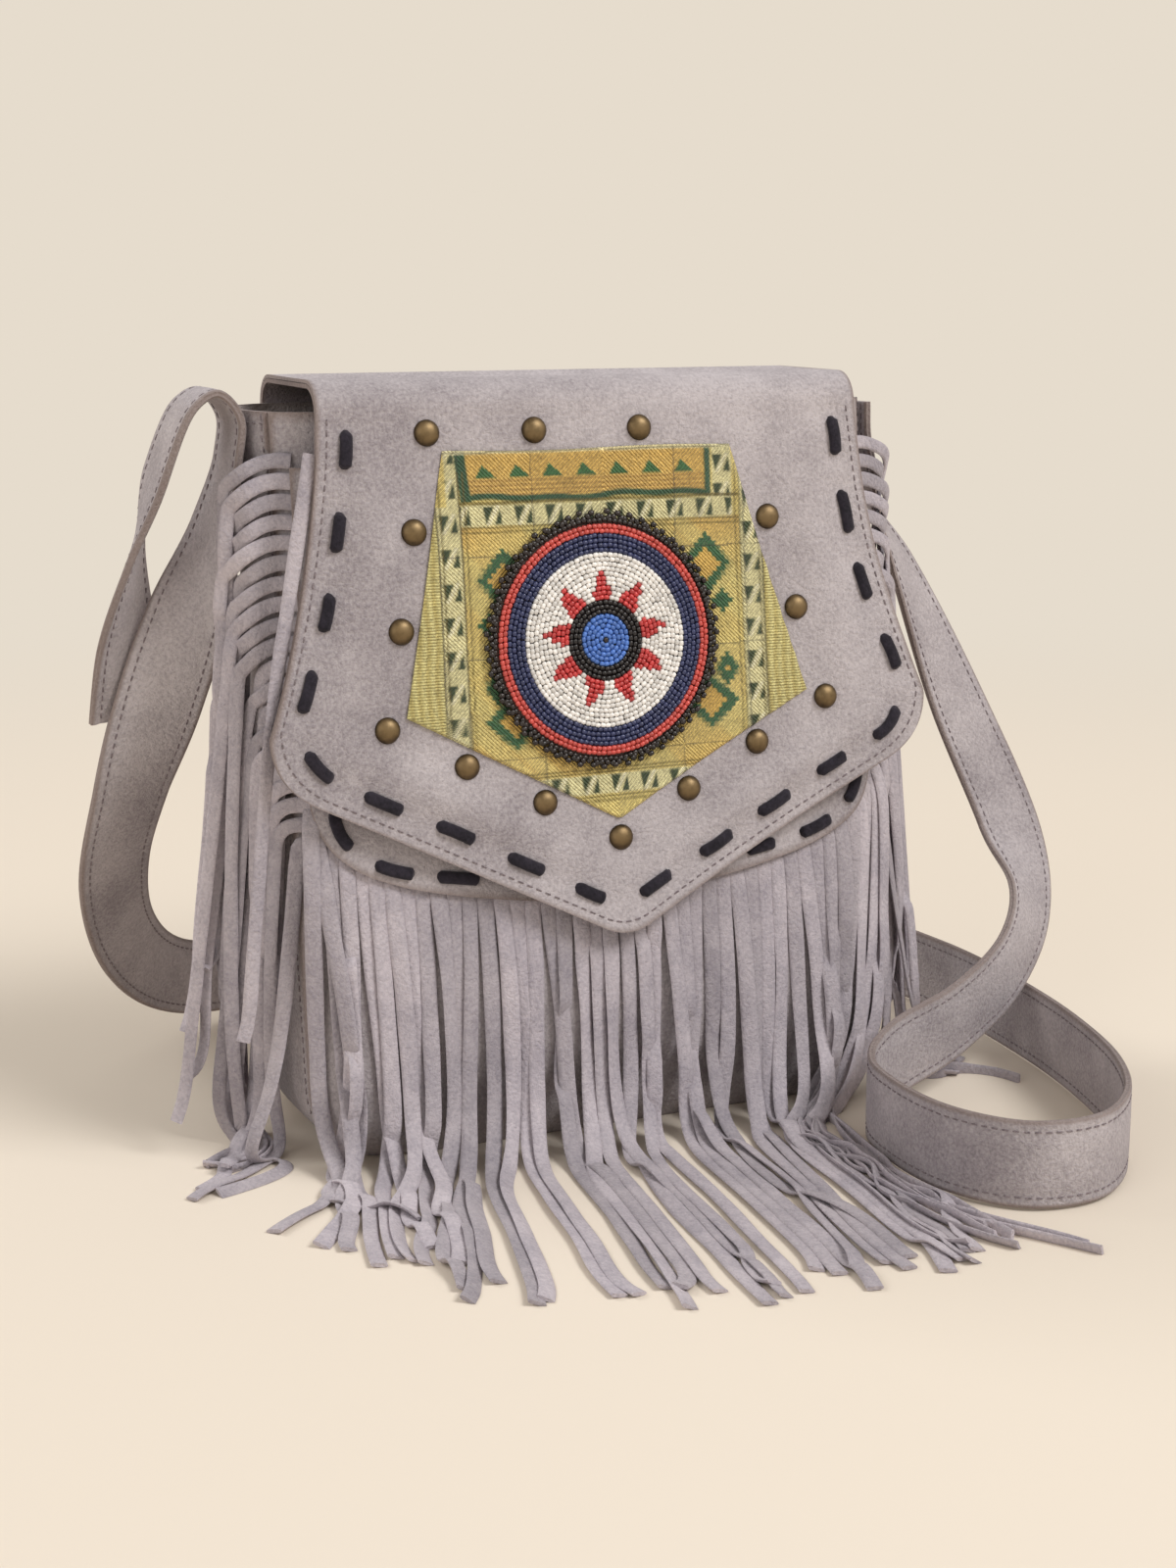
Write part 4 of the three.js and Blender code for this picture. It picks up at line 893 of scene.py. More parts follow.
YOKE_ROWS, YOKE_COLUMNS = 50, 120
yoke_low = yoke_edge(0.0, YOKE_COLUMNS)
yoke_top = np.linspace((-YOKE_HALF, YOKE_TOP), (YOKE_HALF, YOKE_TOP), YOKE_COLUMNS)
yoke_left = np.linspace((-YOKE_HALF, YOKE_TOP), (-YOKE_HALF, YOKE_SIDE), YOKE_ROWS)
yoke_patch = coons(yoke_top, yoke_low, yoke_left, yoke_left * (-1, 1))[::-1]
yoke = add_piece("suede_yoke", sheet_on(on_panel, yoke_patch, YOKE_OUT), SUEDE, "bag",
                 replaces=["front_yoke"])
paint_points(yoke, "edge", rim_of(yoke_patch.shape[:2], 2))

# %% [markdown]
# ## The flap
# The flap is the bag's face: two layers of suede in a house shape turned upside down. It is sewn
# to the back panel's upper edge, passes over the opening, folds over the front and hangs. Behind
# the hinge a short tab of the same sheet lies on the back panel, so the sheet crosses the hinge.
# The front part is a Coons patch of the true outline.

# %% Flap outline
HINGE_HEIGHT = 262.7
FLAP_TOP_HALF = 101.0
FLAP_LOW_HALF = 124.0
FLAP_TIP = 73.0
FLAP_SLOPE = 0.5
FLAP_CORNER = 16.0
FLAP_TIP_ROUND = 9.0
FLAP_OUT = (9.5, 10.7)
FACING_OUT = (7.9, 9.3)
FLAP_TAB = 24.0
FACING_TAB = 19.0
FOLD_RADIUS = 1.0
FOLD_HEIGHT = BODY_TOP - FOLD_RADIUS
FOLD_DEPTH = -BASE_HALF_DEPTH + FOLD_HEIGHT * FRONT_SLOPE + FOLD_RADIUS / FRONT_COS
HINGE_DEPTH = BASE_HALF_DEPTH - HINGE_HEIGHT * BACK_SLOPE
ROUND_DEPTH = HINGE_DEPTH - 7.8
ROUND_HEIGHT = BODY_TOP - 0.3


def flap_half_outline(inset):
    """The right half of the free edge, from the tip up to the fold: tip, line, corner and side."""
    low, top = FLAP_LOW_HALF - inset, FLAP_TOP_HALF - inset
    tip = FLAP_TIP + inset * math.hypot(1, FLAP_SLOPE)
    corner = tip + low * FLAP_SLOPE
    foot = corner + FLAP_CORNER
    waist = (top + 0.12 * (low - top), (foot + FOLD_HEIGHT) / 2)
    tip_end = (FLAP_TIP_ROUND, tip + FLAP_TIP_ROUND * FLAP_SLOPE)
    bend = (low - FLAP_CORNER, corner - FLAP_CORNER * FLAP_SLOPE)
    round_tip = bezier([(-tip_end[0], tip_end[1]), (0, tip), tip_end], 25)[12:]
    round_corner = bezier([bend, (low, corner), (low, foot)], 25)
    side = bezier([(low, foot), waist, (top, FOLD_HEIGHT)], 60)
    return round_tip, round_corner, side


def flap_edge(inset, count=400):
    """The free edge from upper left to upper right, drawn in by a distance."""
    right = np.concatenate(flap_half_outline(inset))
    return resample(np.concatenate([(right * (-1, 1))[::-1], right[1:]]), count)


print("the flap's free edge is", np.round(run_along(flap_edge(0.0))[-1]), "mm long")

# %% Slits of the flap's lace
LACE_INSET = 10.0
LACE_DASH = 15.0
FLAP_STITCHES = 18
YOKE_STITCHES = 10
YOKE_LACE_INSET = 7.0


def stitch_marks(line, count):
    """Where each stitch's middle lies along a line of (x, z), and the line's own distances."""
    run = run_along(line)
    lead = LACE_DASH / 2 + 3.5
    return np.linspace(lead, run[-1] - lead, count), run


flap_lace_line = flap_edge(LACE_INSET)
flap_marks, flap_run = stitch_marks(flap_lace_line, FLAP_STITCHES)
slit_marks = np.concatenate([flap_marks - LACE_DASH / 2, flap_marks + LACE_DASH / 2])
slit_places = at_marks(slit_marks, flap_run, flap_lace_line)
print("slits along the flap's edge", len(slit_places))

# %% The flap as a surface
FLAP_FOLDS = [
    (62, 122, 27, 42, 8, 2.3), (-58, 124, -27, 42, 8, 2.1), (84, 196, 100, 36, 9, 2.1),
    (-86, 214, 82, 34, 9, 2.1), (30, 248, 3, 60, 5, 1.2),
]
PUCKER_DEPTH, PUCKER_SIZE = 0.7, 3.2
FLAP_DENT, FLAP_DENT_SIZE = 1.3, 120
CORNER_LIFT = 3.5


def flap_wave(x, z):
    """How the flap leaves the flat: lifted corners, dents, folds, and a pucker at each slit."""
    lift = CORNER_LIFT * smoothstep(np.abs(x), 70, FLAP_LOW_HALF) * smoothstep(-z, -205, -140)
    broad = FLAP_DENT * dents(x + 20, z, FLAP_DENT_SIZE) + folds(x, z, FLAP_FOLDS)
    broad = broad * smoothstep(-z, -254, -232)
    apart = (x[..., None] - slit_places[:, 0]) ** 2 + (z[..., None] - slit_places[:, 1]) ** 2
    pucker = -PUCKER_DEPTH * np.exp(-apart / (2 * PUCKER_SIZE ** 2)).sum(-1)
    return lift + broad + pucker


def on_flap(x, z, out):
    """Points on the flap's front part, at a distance out from the body's front at rest."""
    x, z = np.broadcast_arrays(np.asarray(x, float), np.asarray(z, float))
    return on_front(x, z, out + flap_wave(x, z))


# %% The flap's suede and its facing
def flap_skin(out, tab, columns=124):
    """One face of the flap: tab on the back, over the opening, round the fold, down the front."""
    round_tip, round_corner, side = flap_half_outline(0.0)
    middle = len(round_corner) // 2
    right_side = resample(np.concatenate([round_corner[middle:], side])[::-1], 80)
    right_low = np.concatenate([round_tip, round_corner[:middle + 1]])
    low = resample(np.concatenate([(right_low * (-1, 1))[::-1], right_low[1:]]), columns)
    top = np.linspace((-FLAP_TOP_HALF, FOLD_HEIGHT), (FLAP_TOP_HALF, FOLD_HEIGHT), columns)
    outline = coons(top, low, right_side * (-1, 1), right_side)
    front = on_flap(outline[..., 0], outline[..., 1], out)
    across = front[0, :, 0]
    turn = np.linspace(0, np.pi / 2 - math.atan(FRONT_SLOPE), 12)[:-1, None]
    fold_y = FOLD_DEPTH - (FOLD_RADIUS + out) * np.sin(turn)
    fold_z = FOLD_HEIGHT + (FOLD_RADIUS + out) * np.cos(turn)
    radius = out + BODY_TOP - ROUND_HEIGHT
    back_turn = np.linspace(0, np.pi / 2, 10)[:-1, None]
    hinge_y = ROUND_DEPTH + radius * np.cos(back_turn)
    hinge_z = ROUND_HEIGHT + radius * np.sin(back_turn)
    tab_z = np.linspace(HINGE_HEIGHT - tab, ROUND_HEIGHT, 6)[:-1, None]
    tab_y = ROUND_DEPTH + radius + (ROUND_HEIGHT - tab_z) * BACK_SLOPE
    share = np.linspace(0, 1, 16)[:-1, None]
    top_y = ROUND_DEPTH + (FOLD_DEPTH - ROUND_DEPTH) * share
    sag = (5.0 + 0.9 * np.sin(across / 15 + 3 * share)) * (1 - (across / FLAP_TOP_HALF) ** 4)
    sag = np.sin(np.pi * share) * sag
    top_z = BODY_TOP + out - sag
    rows_y = [np.broadcast_to(y, (len(y), columns)) for y in (tab_y, hinge_y, top_y, fold_y)]
    rows_z = [np.broadcast_to(z, (len(z), columns)) for z in (tab_z, hinge_z, top_z, fold_z)]
    y, z = np.concatenate(rows_y), np.concatenate(rows_z)
    x = np.broadcast_to(across, y.shape)
    return np.concatenate([np.stack([x, y, z], -1), front])


def flap_layer(name, out, material, node, tab):
    """A layer of the flap: its tab lies on the bag behind the hinge and its front on the flap; it
    rides no body.
    """
    face = flap_skin(out[1], tab=tab)
    layer = add_piece(name, closed_sheet(face, flap_skin(out[0], tab=tab)), material, "flap",
                      replaces=[node])
    paint_points(layer, "edge", rim_of(face.shape[:2], 2))
    layer.parent = None
    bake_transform(layer)


flap_layer("flap_suede", FLAP_OUT, SUEDE, "flap", FLAP_TAB)
flap_layer("flap_facing", FACING_OUT, SHADED_FACING_SUEDE, "flap_lining", FACING_TAB)

# %% Machine stitching round the flap
FLAP_STITCH_INSET = 3.4
TAB_STITCH_ROWS = (3.4, 8.4)
edge_line = flap_edge(FLAP_STITCH_INSET, 600)
edge_points = on_flap(edge_line[:, 0], edge_line[:, 1], FLAP_OUT[1] + 0.05)
edge_out = np.broadcast_to(FRONT_NORMAL, edge_points.shape)
add_piece("flap_thread", seam_row(edge_points, edge_out), THREAD, "flap")
tab_half = FLAP_TOP_HALF - FLAP_STITCH_INSET
tab_face = ROUND_DEPTH + FLAP_OUT[1] + BODY_TOP - ROUND_HEIGHT
tab_rows = []
for rise in TAB_STITCH_ROWS:
    height = HINGE_HEIGHT - FLAP_TAB + rise
    behind = tab_face + (ROUND_HEIGHT - height) * BACK_SLOPE + 0.1
    tab_line = np.linspace((-tab_half, behind, height), (tab_half, behind, height), 90)
    tab_rows.append(seam_row(tab_line, np.broadcast_to((0.0, 1.0, 0.0), tab_line.shape)))
add_piece("tab_thread", join(tab_rows), THREAD, "bag")

# %% [markdown]
# ## The lacing
# One flat suede lace is drawn in and out of slits along the flap's edge, and another along the
# yoke. Where it lies on top it shows as a plump dash, and its ends dive into the slits. The lace
# is a rounded strip whose height over the suede rises and falls with the distance along the edge,
# and each slit squeezes it.

# %% Laces
LACE_WIDTH = 4.5
LACE_THICKNESS = 2.7
SLIT_SQUEEZE = 0.45
rng = np.random.default_rng(7)


def rounded_profile(width, thickness, count=14, power=0.6):
    """A superellipse, fuller than an ellipse: the section of a lace or strand."""
    turn = np.linspace(0, 2 * np.pi, count, endpoint=False)
    sides, faces = squared(np.cos(turn), power), squared(np.sin(turn), power)
    return np.stack([width / 2 * sides, thickness / 2 * faces], -1)[::-1]


def lace(line, count, surface, low, high):
    """A lace along a line of (x, z): over the suede for each dash, under it between the dashes."""
    marks, run = stitch_marks(line, count)
    steps = np.linspace(0, run[-1], int(run[-1] / 0.8))
    x, z = at_marks(steps, run, line).T
    apart = np.abs(steps[:, None] - (marks + rng.normal(0, 0.6, count)))
    dash = LACE_DASH / 2 + rng.normal(0, 0.5, count)
    rise = 1 - smoothstep(apart, dash - 1.6, dash + 0.9).min(1)
    sway = (rng.normal(0, 0.5, count) * np.exp(-(apart / 9) ** 2)).sum(1)
    along = unit_vectors(np.gradient(np.stack([x, z], -1), axis=0))
    x, z = x + sway * along[:, 1], z - sway * along[:, 0]
    centres = surface(x, z, low + (high - low) * rise)
    out = np.broadcast_to(FRONT_NORMAL, centres.shape)
    forward = unit_vectors(np.gradient(surface(x, z, high), axis=0))
    squeezed = (1 - SLIT_SQUEEZE * 4 * rise * (1 - rise))[:, None]
    return strip(centres, squeezed * np.cross(out, forward), out,
                 rounded_profile(LACE_WIDTH, LACE_THICKNESS, power=0.85))


LACE = suede("black suede lace", "#332f38", "#1c1a20", cloud_mm=9, pebble_mm=1.2, depth=0.4)
flap_lace = lace(flap_lace_line, FLAP_STITCHES, on_flap, FACING_OUT[1] - 1.0, FLAP_OUT[1] + 0.75)
add_piece("flap_lacing", flap_lace, LACE, "flap", replaces=["flap_lace"])
yoke_lace_line = yoke_edge(YOKE_LACE_INSET, 300)
yoke_lace = lace(yoke_lace_line, YOKE_STITCHES, on_panel, 1.4, YOKE_OUT[1] + 0.6)
add_piece("yoke_lacing", yoke_lace, LACE, "bag", replaces=["yoke_lace"])

# %% [markdown]
# ## The embroidered patch
# The patch is an old piece of mustard cloth covered with counted stitches: an orange panel at the
# top with green triangles in a green frame, pale bands of repeated sprigs between double lines,
# ribbed outer corners, and stepped green diamonds round the medallion. The cloth is a fine grid.
# Each point's dye is worked out by formula from its place in millimetres and kept as a colour
# attribute, and the stitched figures also stand a few tenths of a millimetre proud, because
# satin stitch is raised. The thread itself is drawn by the material, across the attribute "run",
# which is the distance across the threads.


# %% Figures of the embroidery
def between(value, low, high, soft=0.3):
    """1 between two limits and 0 outside, with a step about as wide as a thread."""
    above_high = smoothstep(value, high - soft, high + soft)
    return smoothstep(value, low - soft, low + soft) * (1 - above_high)


def repeat(value, pitch, start):
    """Distance from the middle of the nearest repeat of a row of figures."""
    return (value - start + pitch / 2) % pitch - pitch / 2


def sprig(across, along):
    """A repeat of the bands, 7 mm high: a dark wedge, a pale slanting stroke, a dark triangle."""
    fall = (3 - along) / 6
    wedge = between(across, -3.5 + fall, 0.6 - 3.1 * fall) * between(along, -3, 3)
    climb = (along + 3) / 5.5
    leaf = between(across, 0.5 + 2.3 * climb, 3.3 - 0.5 * climb) * between(along, -3, 2.4)
    stroke = between(across - 0.62 * along, -0.55, 0.75) * between(along, -3.4, 3.4)
    return np.maximum(wedge, leaf), stroke


COUNTED = 1.7  # the side of one counted stitch


def diamond(x, z, middle, half, thick):
    """A diamond's outline and its inside: the distances from its middle added, in counted steps."""
    step_x = COUNTED * np.round((x - middle[0]) / COUNTED)
    step_z = COUNTED * np.round((z - middle[1]) / COUNTED)
    reach = np.abs(step_x) / half[0] + np.abs(step_z) / half[1]
    share = thick / min(half)
    return between(reach, 1 - share, 1, 0.05), between(reach, -1, 1 - share, 0.05)


PATCH_OUT = (11.0, 11.8)
PATCH_HEIGHTS = (115.0, 154.5, 242.5)
PATCH_LEFT = (-1.2, -76.0, -58.0)
PATCH_RIGHT = (1.2, 76.0, 49.0)
BAND_LEFT = (-62.0, -53.5)
BAND_RIGHT = (52.0, 60.5)
BAND_TOP = (217.4, 224.4)
BAND_LOW = (123.8, 130.4)
SPRIG_PITCH = 11.4
# the middle and the half sizes of each diamond
DIAMONDS = [
    ((-39, 199), (10, 11)), ((38, 201), (10, 11)), ((-37, 151), (11, 10)), ((38, 153), (11, 10)),
    ((-45, 184), (4.5, 5)), ((-43, 163), (5, 5.5)), ((45, 164), (5, 5.5)), ((44, 188), (4, 5)),
]
PANEL_LEFT, PANEL_RIGHT, PANEL_FOOT, PANEL_TOP = -50.5, 39.6, 226.6, 244.0
TOOTH_FOOT, TOOTH_TIP, TOOTH_PITCH, TOOTH_HALF = 233.4, 237.8, 12.3, 3.9
RIB_PITCH = 3.3
ACROSS_LINES = (225.2, 224.7, 216.9, 215.3, 132.4, 131.2, 122.9, 121.4)
UPRIGHT_LINES = (*BAND_LEFT, BAND_LEFT[1] + 1.9, BAND_LEFT[0] + 1.5, *BAND_RIGHT, 50.3, 59.2)
print("patch", PATCH_HEIGHTS[2] - PATCH_HEIGHTS[0], "mm high with", len(DIAMONDS), "diamonds")


# %% Dye and relief by formula
def embroider(x, z):
    """Colour, height in mm and thread distance in mm for every point of the patch."""
    dye = np.broadcast_to(np.array(linear("#e3ce7e")), (*x.shape, 4)).copy()
    rise = 0.1 * dents(x, z, 40)

    def lay(mask, code, height=0.0):
        """Stitches a colour over what is there, as far as the mask says, and raises it."""
        dye[...] += mask[..., None] * (np.array(linear(code)) - dye)
        rise[...] += height * mask

    corner_left, corner_right = x < BAND_LEFT[0], x > BAND_RIGHT[1]
    field = between(x, BAND_LEFT[1], BAND_RIGHT[0]) * between(z, BAND_LOW[1], BAND_TOP[0])
    warm = field * np.clip(np.abs(z - 172) / 40, 0, 1) * (0.6 + 0.4 * dents(x, z, 60))
    lay(np.clip(warm, 0, 0.8), "#dcb25c")
    lay(field * 0.5 * between(np.abs(repeat(x + z, 46, 10)), 0, 9, 2.0), "#e3d68a")
    rib = 0.5 + 0.5 * np.cos(2 * np.pi * (x + 0.5 * np.sin(z / 5)) / RIB_PITCH)
    for corner in (corner_left, corner_right):
        lay(corner * 1.0, "#e4d995")
        # painted shade: the grooves between the raised ribs are darkened
        lay(corner * (1 - rib) * 0.6, "#b09a4c")
        rise += corner * 0.45 * rib
    above = z >= BAND_TOP[1]
    left_band = between(x, *BAND_LEFT) * ~above + between(x, PATCH_LEFT[2], BAND_LEFT[1]) * above
    top_band = between(z, *BAND_TOP) * between(x, BAND_LEFT[1], PATCH_RIGHT[2])
    corner_band = between(x, 41.5, PATCH_RIGHT[2]) * between(z, BAND_TOP[1], PANEL_TOP)
    bands = [
        (left_band, x + 57.8, repeat(z, SPRIG_PITCH, 2)),
        (between(x, *BAND_RIGHT), x - 56.3, repeat(z, SPRIG_PITCH, 7)),
        (top_band, repeat(x, SPRIG_PITCH, 4), z - 220.9),
        (between(z, *BAND_LOW), repeat(x, SPRIG_PITCH, 1), z - 127.1),
        (corner_band, x - 45.2, repeat(z, SPRIG_PITCH - 1.4, 6)),
    ]
    for band, across, along in bands:
        lay(band, "#e6dda6", 0.05)
        dark, pale = sprig(across, along)
        lay(band * pale, "#f0e9c2", 0.2)
        lay(band * dark, "#39482a", 0.15)
    panel_box = between(x, PANEL_LEFT, PANEL_RIGHT) * between(z, PANEL_FOOT, PANEL_TOP)
    lay(panel_box, "#e2bb66", 0.1)
    herring = 0.5 + 0.5 * np.sin(2 * np.pi * (np.abs(repeat(x, 17, 3)) + z) / 2.6)
    lay(panel_box * 0.6 * herring * (z > 233.5), "#be9646", 0.15)
    cords = 0.35 + 0.3 * np.sin(2 * np.pi * z / 1.6)
    lay(panel_box * between(z, 227.5, 233) * cords, "#8f6530", 0.15)
    share = np.clip((z - TOOTH_FOOT) / (TOOTH_TIP - TOOTH_FOOT), 0, 1)
    tooth = np.abs(repeat(x + 1.2 * share, TOOTH_PITCH, 6)) < TOOTH_HALF * (1 - share)
    lay(panel_box * tooth * between(z, TOOTH_FOOT, TOOTH_TIP), "#3d6b3c", 0.2)
    wavy = PANEL_FOOT + 0.5 * np.sin(x / 9) + 0.4 * np.sin(x / 4)
    fall = 242 - z
    left_bar = between(x, -54.6 + fall * 0.12, -50.6 + fall * 0.1) * between(z, 225.6, PANEL_TOP)
    right_bar = between(x, 38.4, 40.8) * between(z, 226, PANEL_TOP)
    low_bar = between(z, wavy - 1.2, wavy + 1.0) * between(x, -53, 40.8)
    for bar in (left_bar, right_bar, low_bar):
        lay(bar, "#35583c", 0.2)
    for middle, half in DIAMONDS:
        ring, heart = diamond(x, z, middle, half, 4.2)
        lay(heart, "#dcb45c", 0.05)
        lay(ring, "#3a6640", 0.25)
    inner = (x > BAND_LEFT[1]) * (x < BAND_RIGHT[0])
    for place in ACROSS_LINES:
        lay(between(z, place - 0.32, place + 0.32, 0.25) * inner * 0.8, "#6a5c26", -0.15)
    for place in UPRIGHT_LINES:
        lay(between(x, place - 0.3, place + 0.3, 0.25) * (z < 236) * 0.8, "#6a5c26", -0.15)
    lay(between(z, PATCH_HEIGHTS[2] - 1.0, PATCH_HEIGHTS[2] + 2) * 0.8, "#efe6b4", 0.1)
    tilt = np.where(np.sin(x / 8.5) * np.sin(z / 11) > 0, 1.0, -1.0)
    run = np.where(corner_left | corner_right, z, (x * tilt + z) * 0.7)
    return dye, rise, run


middle_dye = embroider(np.zeros(1), np.full(1, 172.0))[0][0]
print("dye in the patch's middle, linear", np.round(middle_dye[:3], 3))

# %% The patch
def patch_sheet(rows=230, columns=210):
    """Rows down from the top edge, each across the five-sided outline from left to right."""
    height = np.linspace(PATCH_HEIGHTS[2], PATCH_HEIGHTS[0], rows)[:, None]
    left = np.interp(height, PATCH_HEIGHTS, PATCH_LEFT)
    right = np.interp(height, PATCH_HEIGHTS, PATCH_RIGHT)
    x = left + (right - left) * np.linspace(0, 1, columns)[None]
    z = height + 0.4 * np.sin(x / 14) * smoothstep(height, 130, 200) + 0 * x
    dye, rise, run = embroider(x, z)
    edge = np.minimum(np.minimum(x - left, right - x), PATCH_HEIGHTS[2] - height)
    turned = -0.5 * np.exp(-(edge / 0.8) ** 2) + 0.25 * np.exp(-((edge - 2.2) / 1.2) ** 2)
    outer = on_flap(x, z, PATCH_OUT[1] + rise + turned)
    return closed_sheet(outer, on_flap(x, z, PATCH_OUT[0])), dye, run


SATIN_PITCH = 1.0  # embroidery thread is about 0.4 mm, which is too fine to show
FLUFF_SIZE = 0.9
WEAR_SIZE = 14.0


def embroidery_thread(name):
    """Cotton embroidery: each stitch's dye with painted shade across its threads, fluffy and a little
    worn.
    """
    material, tree, shader = new_material(name)
    tone = add_node(tree, "ShaderNodeAttribute", attribute_name="dye").outputs["Color"]
    run = add_node(tree, "ShaderNodeAttribute", attribute_name="run").outputs["Fac"]
    phase = add_node(tree, "ShaderNodeMath", {0: run, 1: 2 * math.pi / SATIN_PITCH},
                     operation="MULTIPLY")
    thread = add_node(tree, "ShaderNodeMath", {0: phase.outputs[0]}, operation="SINE").outputs[0]
    where = add_node(tree, "ShaderNodeTexCoord").outputs["Object"]
    noises = []
    for size, detail, rough in ((FLUFF_SIZE, 2.0, 0.7), (WEAR_SIZE, 4.0, 0.65)):
        noise = add_node(tree, "ShaderNodeTexNoise", {
            "Vector": where, "Scale": 1000 / size, "Detail": detail, "Roughness": rough})
        noises.append(noise.outputs["Fac"])
    fluff, wear = noises
    # painted shade and light: darker in the grooves between threads, lighter on their tops and on the
    # raised fluff; the wear is the thread's own
    thread_shade_fluff_and_wear = [(thread, -1.0, 1.0, 0.84, 1.12), (fluff, 0.3, 0.7, 0.66, 1.34),
              (wear, 0.3, 0.7, 0.86, 1.12)]
    for value, low, high, dark, light in thread_shade_fluff_and_wear:
        share = add_node(tree, "ShaderNodeMapRange", {0: value, 1: low, 2: high, 3: dark, 4: light})
        tone = add_node(tree, "ShaderNodeVectorMath", {0: tone, 1: share.outputs[0]},
                        operation="MULTIPLY").outputs[0]
    height = add_node(tree, "ShaderNodeMath", {0: thread, 1: fluff}, operation="ADD").outputs[0]
    relief = add_node(tree, "ShaderNodeBump",
                      {"Height": height, "Strength": 0.8, "Distance": 0.5 * MM})
    tree.links.new(tone, shader.inputs["Base Color"])
    tree.links.new(relief.outputs["Normal"], shader.inputs["Normal"])
    shader.inputs["Roughness"].default_value = 0.7
    shader.inputs["Sheen Weight"].default_value = 0.15
    return material


EMBROIDERY = embroidery_thread("cotton embroidery thread")
patch_shape, patch_colours, patch_threads = patch_sheet()
patch = add_piece("embroidered_cloth", patch_shape, EMBROIDERY, "flap",
                  replaces=["embroidered_patch"])
paint_points(patch, "dye", np.tile(patch_colours.reshape(-1, 4), (2, 1)))
paint_points(patch, "run", np.tile(patch_threads.ravel(), 2))

# %% [markdown]
# ## The medallion
# Glass seed beads are sewn in rings on a felt disc, 24 rows from a dark middle bead to a red rim:
# blue, black, white with nine red points, navy and red. A last row of black-brown beads stands
# out in small loops of three. Every bead is one copy of a small barrel with its hole along the
# ring, and its place is worked out as an array of angles and radii. Sewn beads are never quite
# even, so each gets a small shift, and a tone of its own.

# %% Where each bead lies
MEDALLION = (-3.0, 177.0)
BACKING_OUT = (11.9, 12.9)
BEAD_ROW = 1.62
BEAD_ROWS = 24
BEAD_LENGTH = 1.9
BEAD_RADIUS = 0.87
STAR_POINTS = 9
STAR_TIP = 24.6
STAR_BASE = 13.4
STAR_SPREAD = math.radians(15.5)
STAR_TURN = math.radians(92)
FRONT_UP = np.array([0, FRONT_COS * FRONT_SLOPE, FRONT_COS])
ACROSS = np.array([1.0, 0, 0])

bead_rows = BEAD_ROW * np.arange(1, BEAD_ROWS + 1) + 0.1
row_counts = np.round(2 * np.pi * bead_rows / BEAD_LENGTH).astype(int)
bead_radius = np.repeat(bead_rows, row_counts)
bead_place = np.arange(row_counts.sum()) - np.repeat(np.cumsum(row_counts) - row_counts, row_counts)
row_start = np.repeat(rng.random(BEAD_ROWS), row_counts)
bead_angle = 2 * np.pi * (bead_place + row_start) / np.repeat(row_counts, row_counts)
from_point = repeat(bead_angle, 2 * np.pi / STAR_POINTS, STAR_TURN)
point_reach = STAR_TIP - (STAR_TIP - STAR_BASE) * np.abs(from_point) / STAR_SPREAD
in_star = bead_radius < point_reach
RING_LIMITS = (0, 8.6, 13.8, 30.1, 36.6, 41)
blue, black, star_field, navy, rim = [(bead_radius > low) & (bead_radius <= high)
                                      for low, high in zip(RING_LIMITS, RING_LIMITS[1:])]
bead_radius = bead_radius + rng.normal(0, 0.07, len(bead_radius))
bead_angle = bead_angle + rng.normal(0, 0.09, len(bead_angle)) / bead_radius
print("beads in rings", len(bead_radius), "of them in the star", (star_field & in_star).sum())

# A seed bead along x: narrow at its two ends and full between them
BEAD_SIDES = 8
SEED_BEAD = rod(np.array([(0.6, -0.5), (1.0, -0.3), (1.0, 0.3), (0.6, 0.5)])
                * (BEAD_RADIUS, 0.97 * BEAD_LENGTH), BEAD_SIDES)


def medallion_dome(radius):
    """The beaded disc is a little fuller in the middle."""
    return 1.4 * np.clip(1 - (radius / 42) ** 2, 0, 1)


def sew_beads(radius, angle, turn=0.0, rise=0.0, size=1.0):
    """Copies of the bead at polar places on the medallion, their holes along the ring."""
    x = MEDALLION[0] + radius * np.cos(angle)
    z = MEDALLION[1] + radius * np.sin(angle)
    centres = on_flap(x, z, BACKING_OUT[1] + BEAD_RADIUS * 0.9 + medallion_dome(radius) + rise)
    way = (angle + np.pi / 2 + turn)[:, None]
    along = np.cos(way) * ACROSS + np.sin(way) * FRONT_UP
    normal = np.broadcast_to(FRONT_NORMAL, along.shape)
    axes = np.stack([along, np.cross(normal, along), normal], 1) * size
    return scatter(SEED_BEAD, centres, axes)


# %% Glass beads
def bead_glass(name, code):
    """Pressed glass: a full colour with a small sharp highlight; each bead has its own tone."""
    material, tree, shader = new_material(name)
    tone = add_node(tree, "ShaderNodeAttribute", attribute_name="tone").outputs["Fac"]
    shade = add_node(tree, "ShaderNodeVectorMath", {0: linear(code)[:3], 1: tone},
                     operation="MULTIPLY")
    tree.links.new(shade.outputs[0], shader.inputs["Base Color"])
    shader.inputs["Roughness"].default_value = 0.28
    shader.inputs["IOR"].default_value = 1.52
    return material


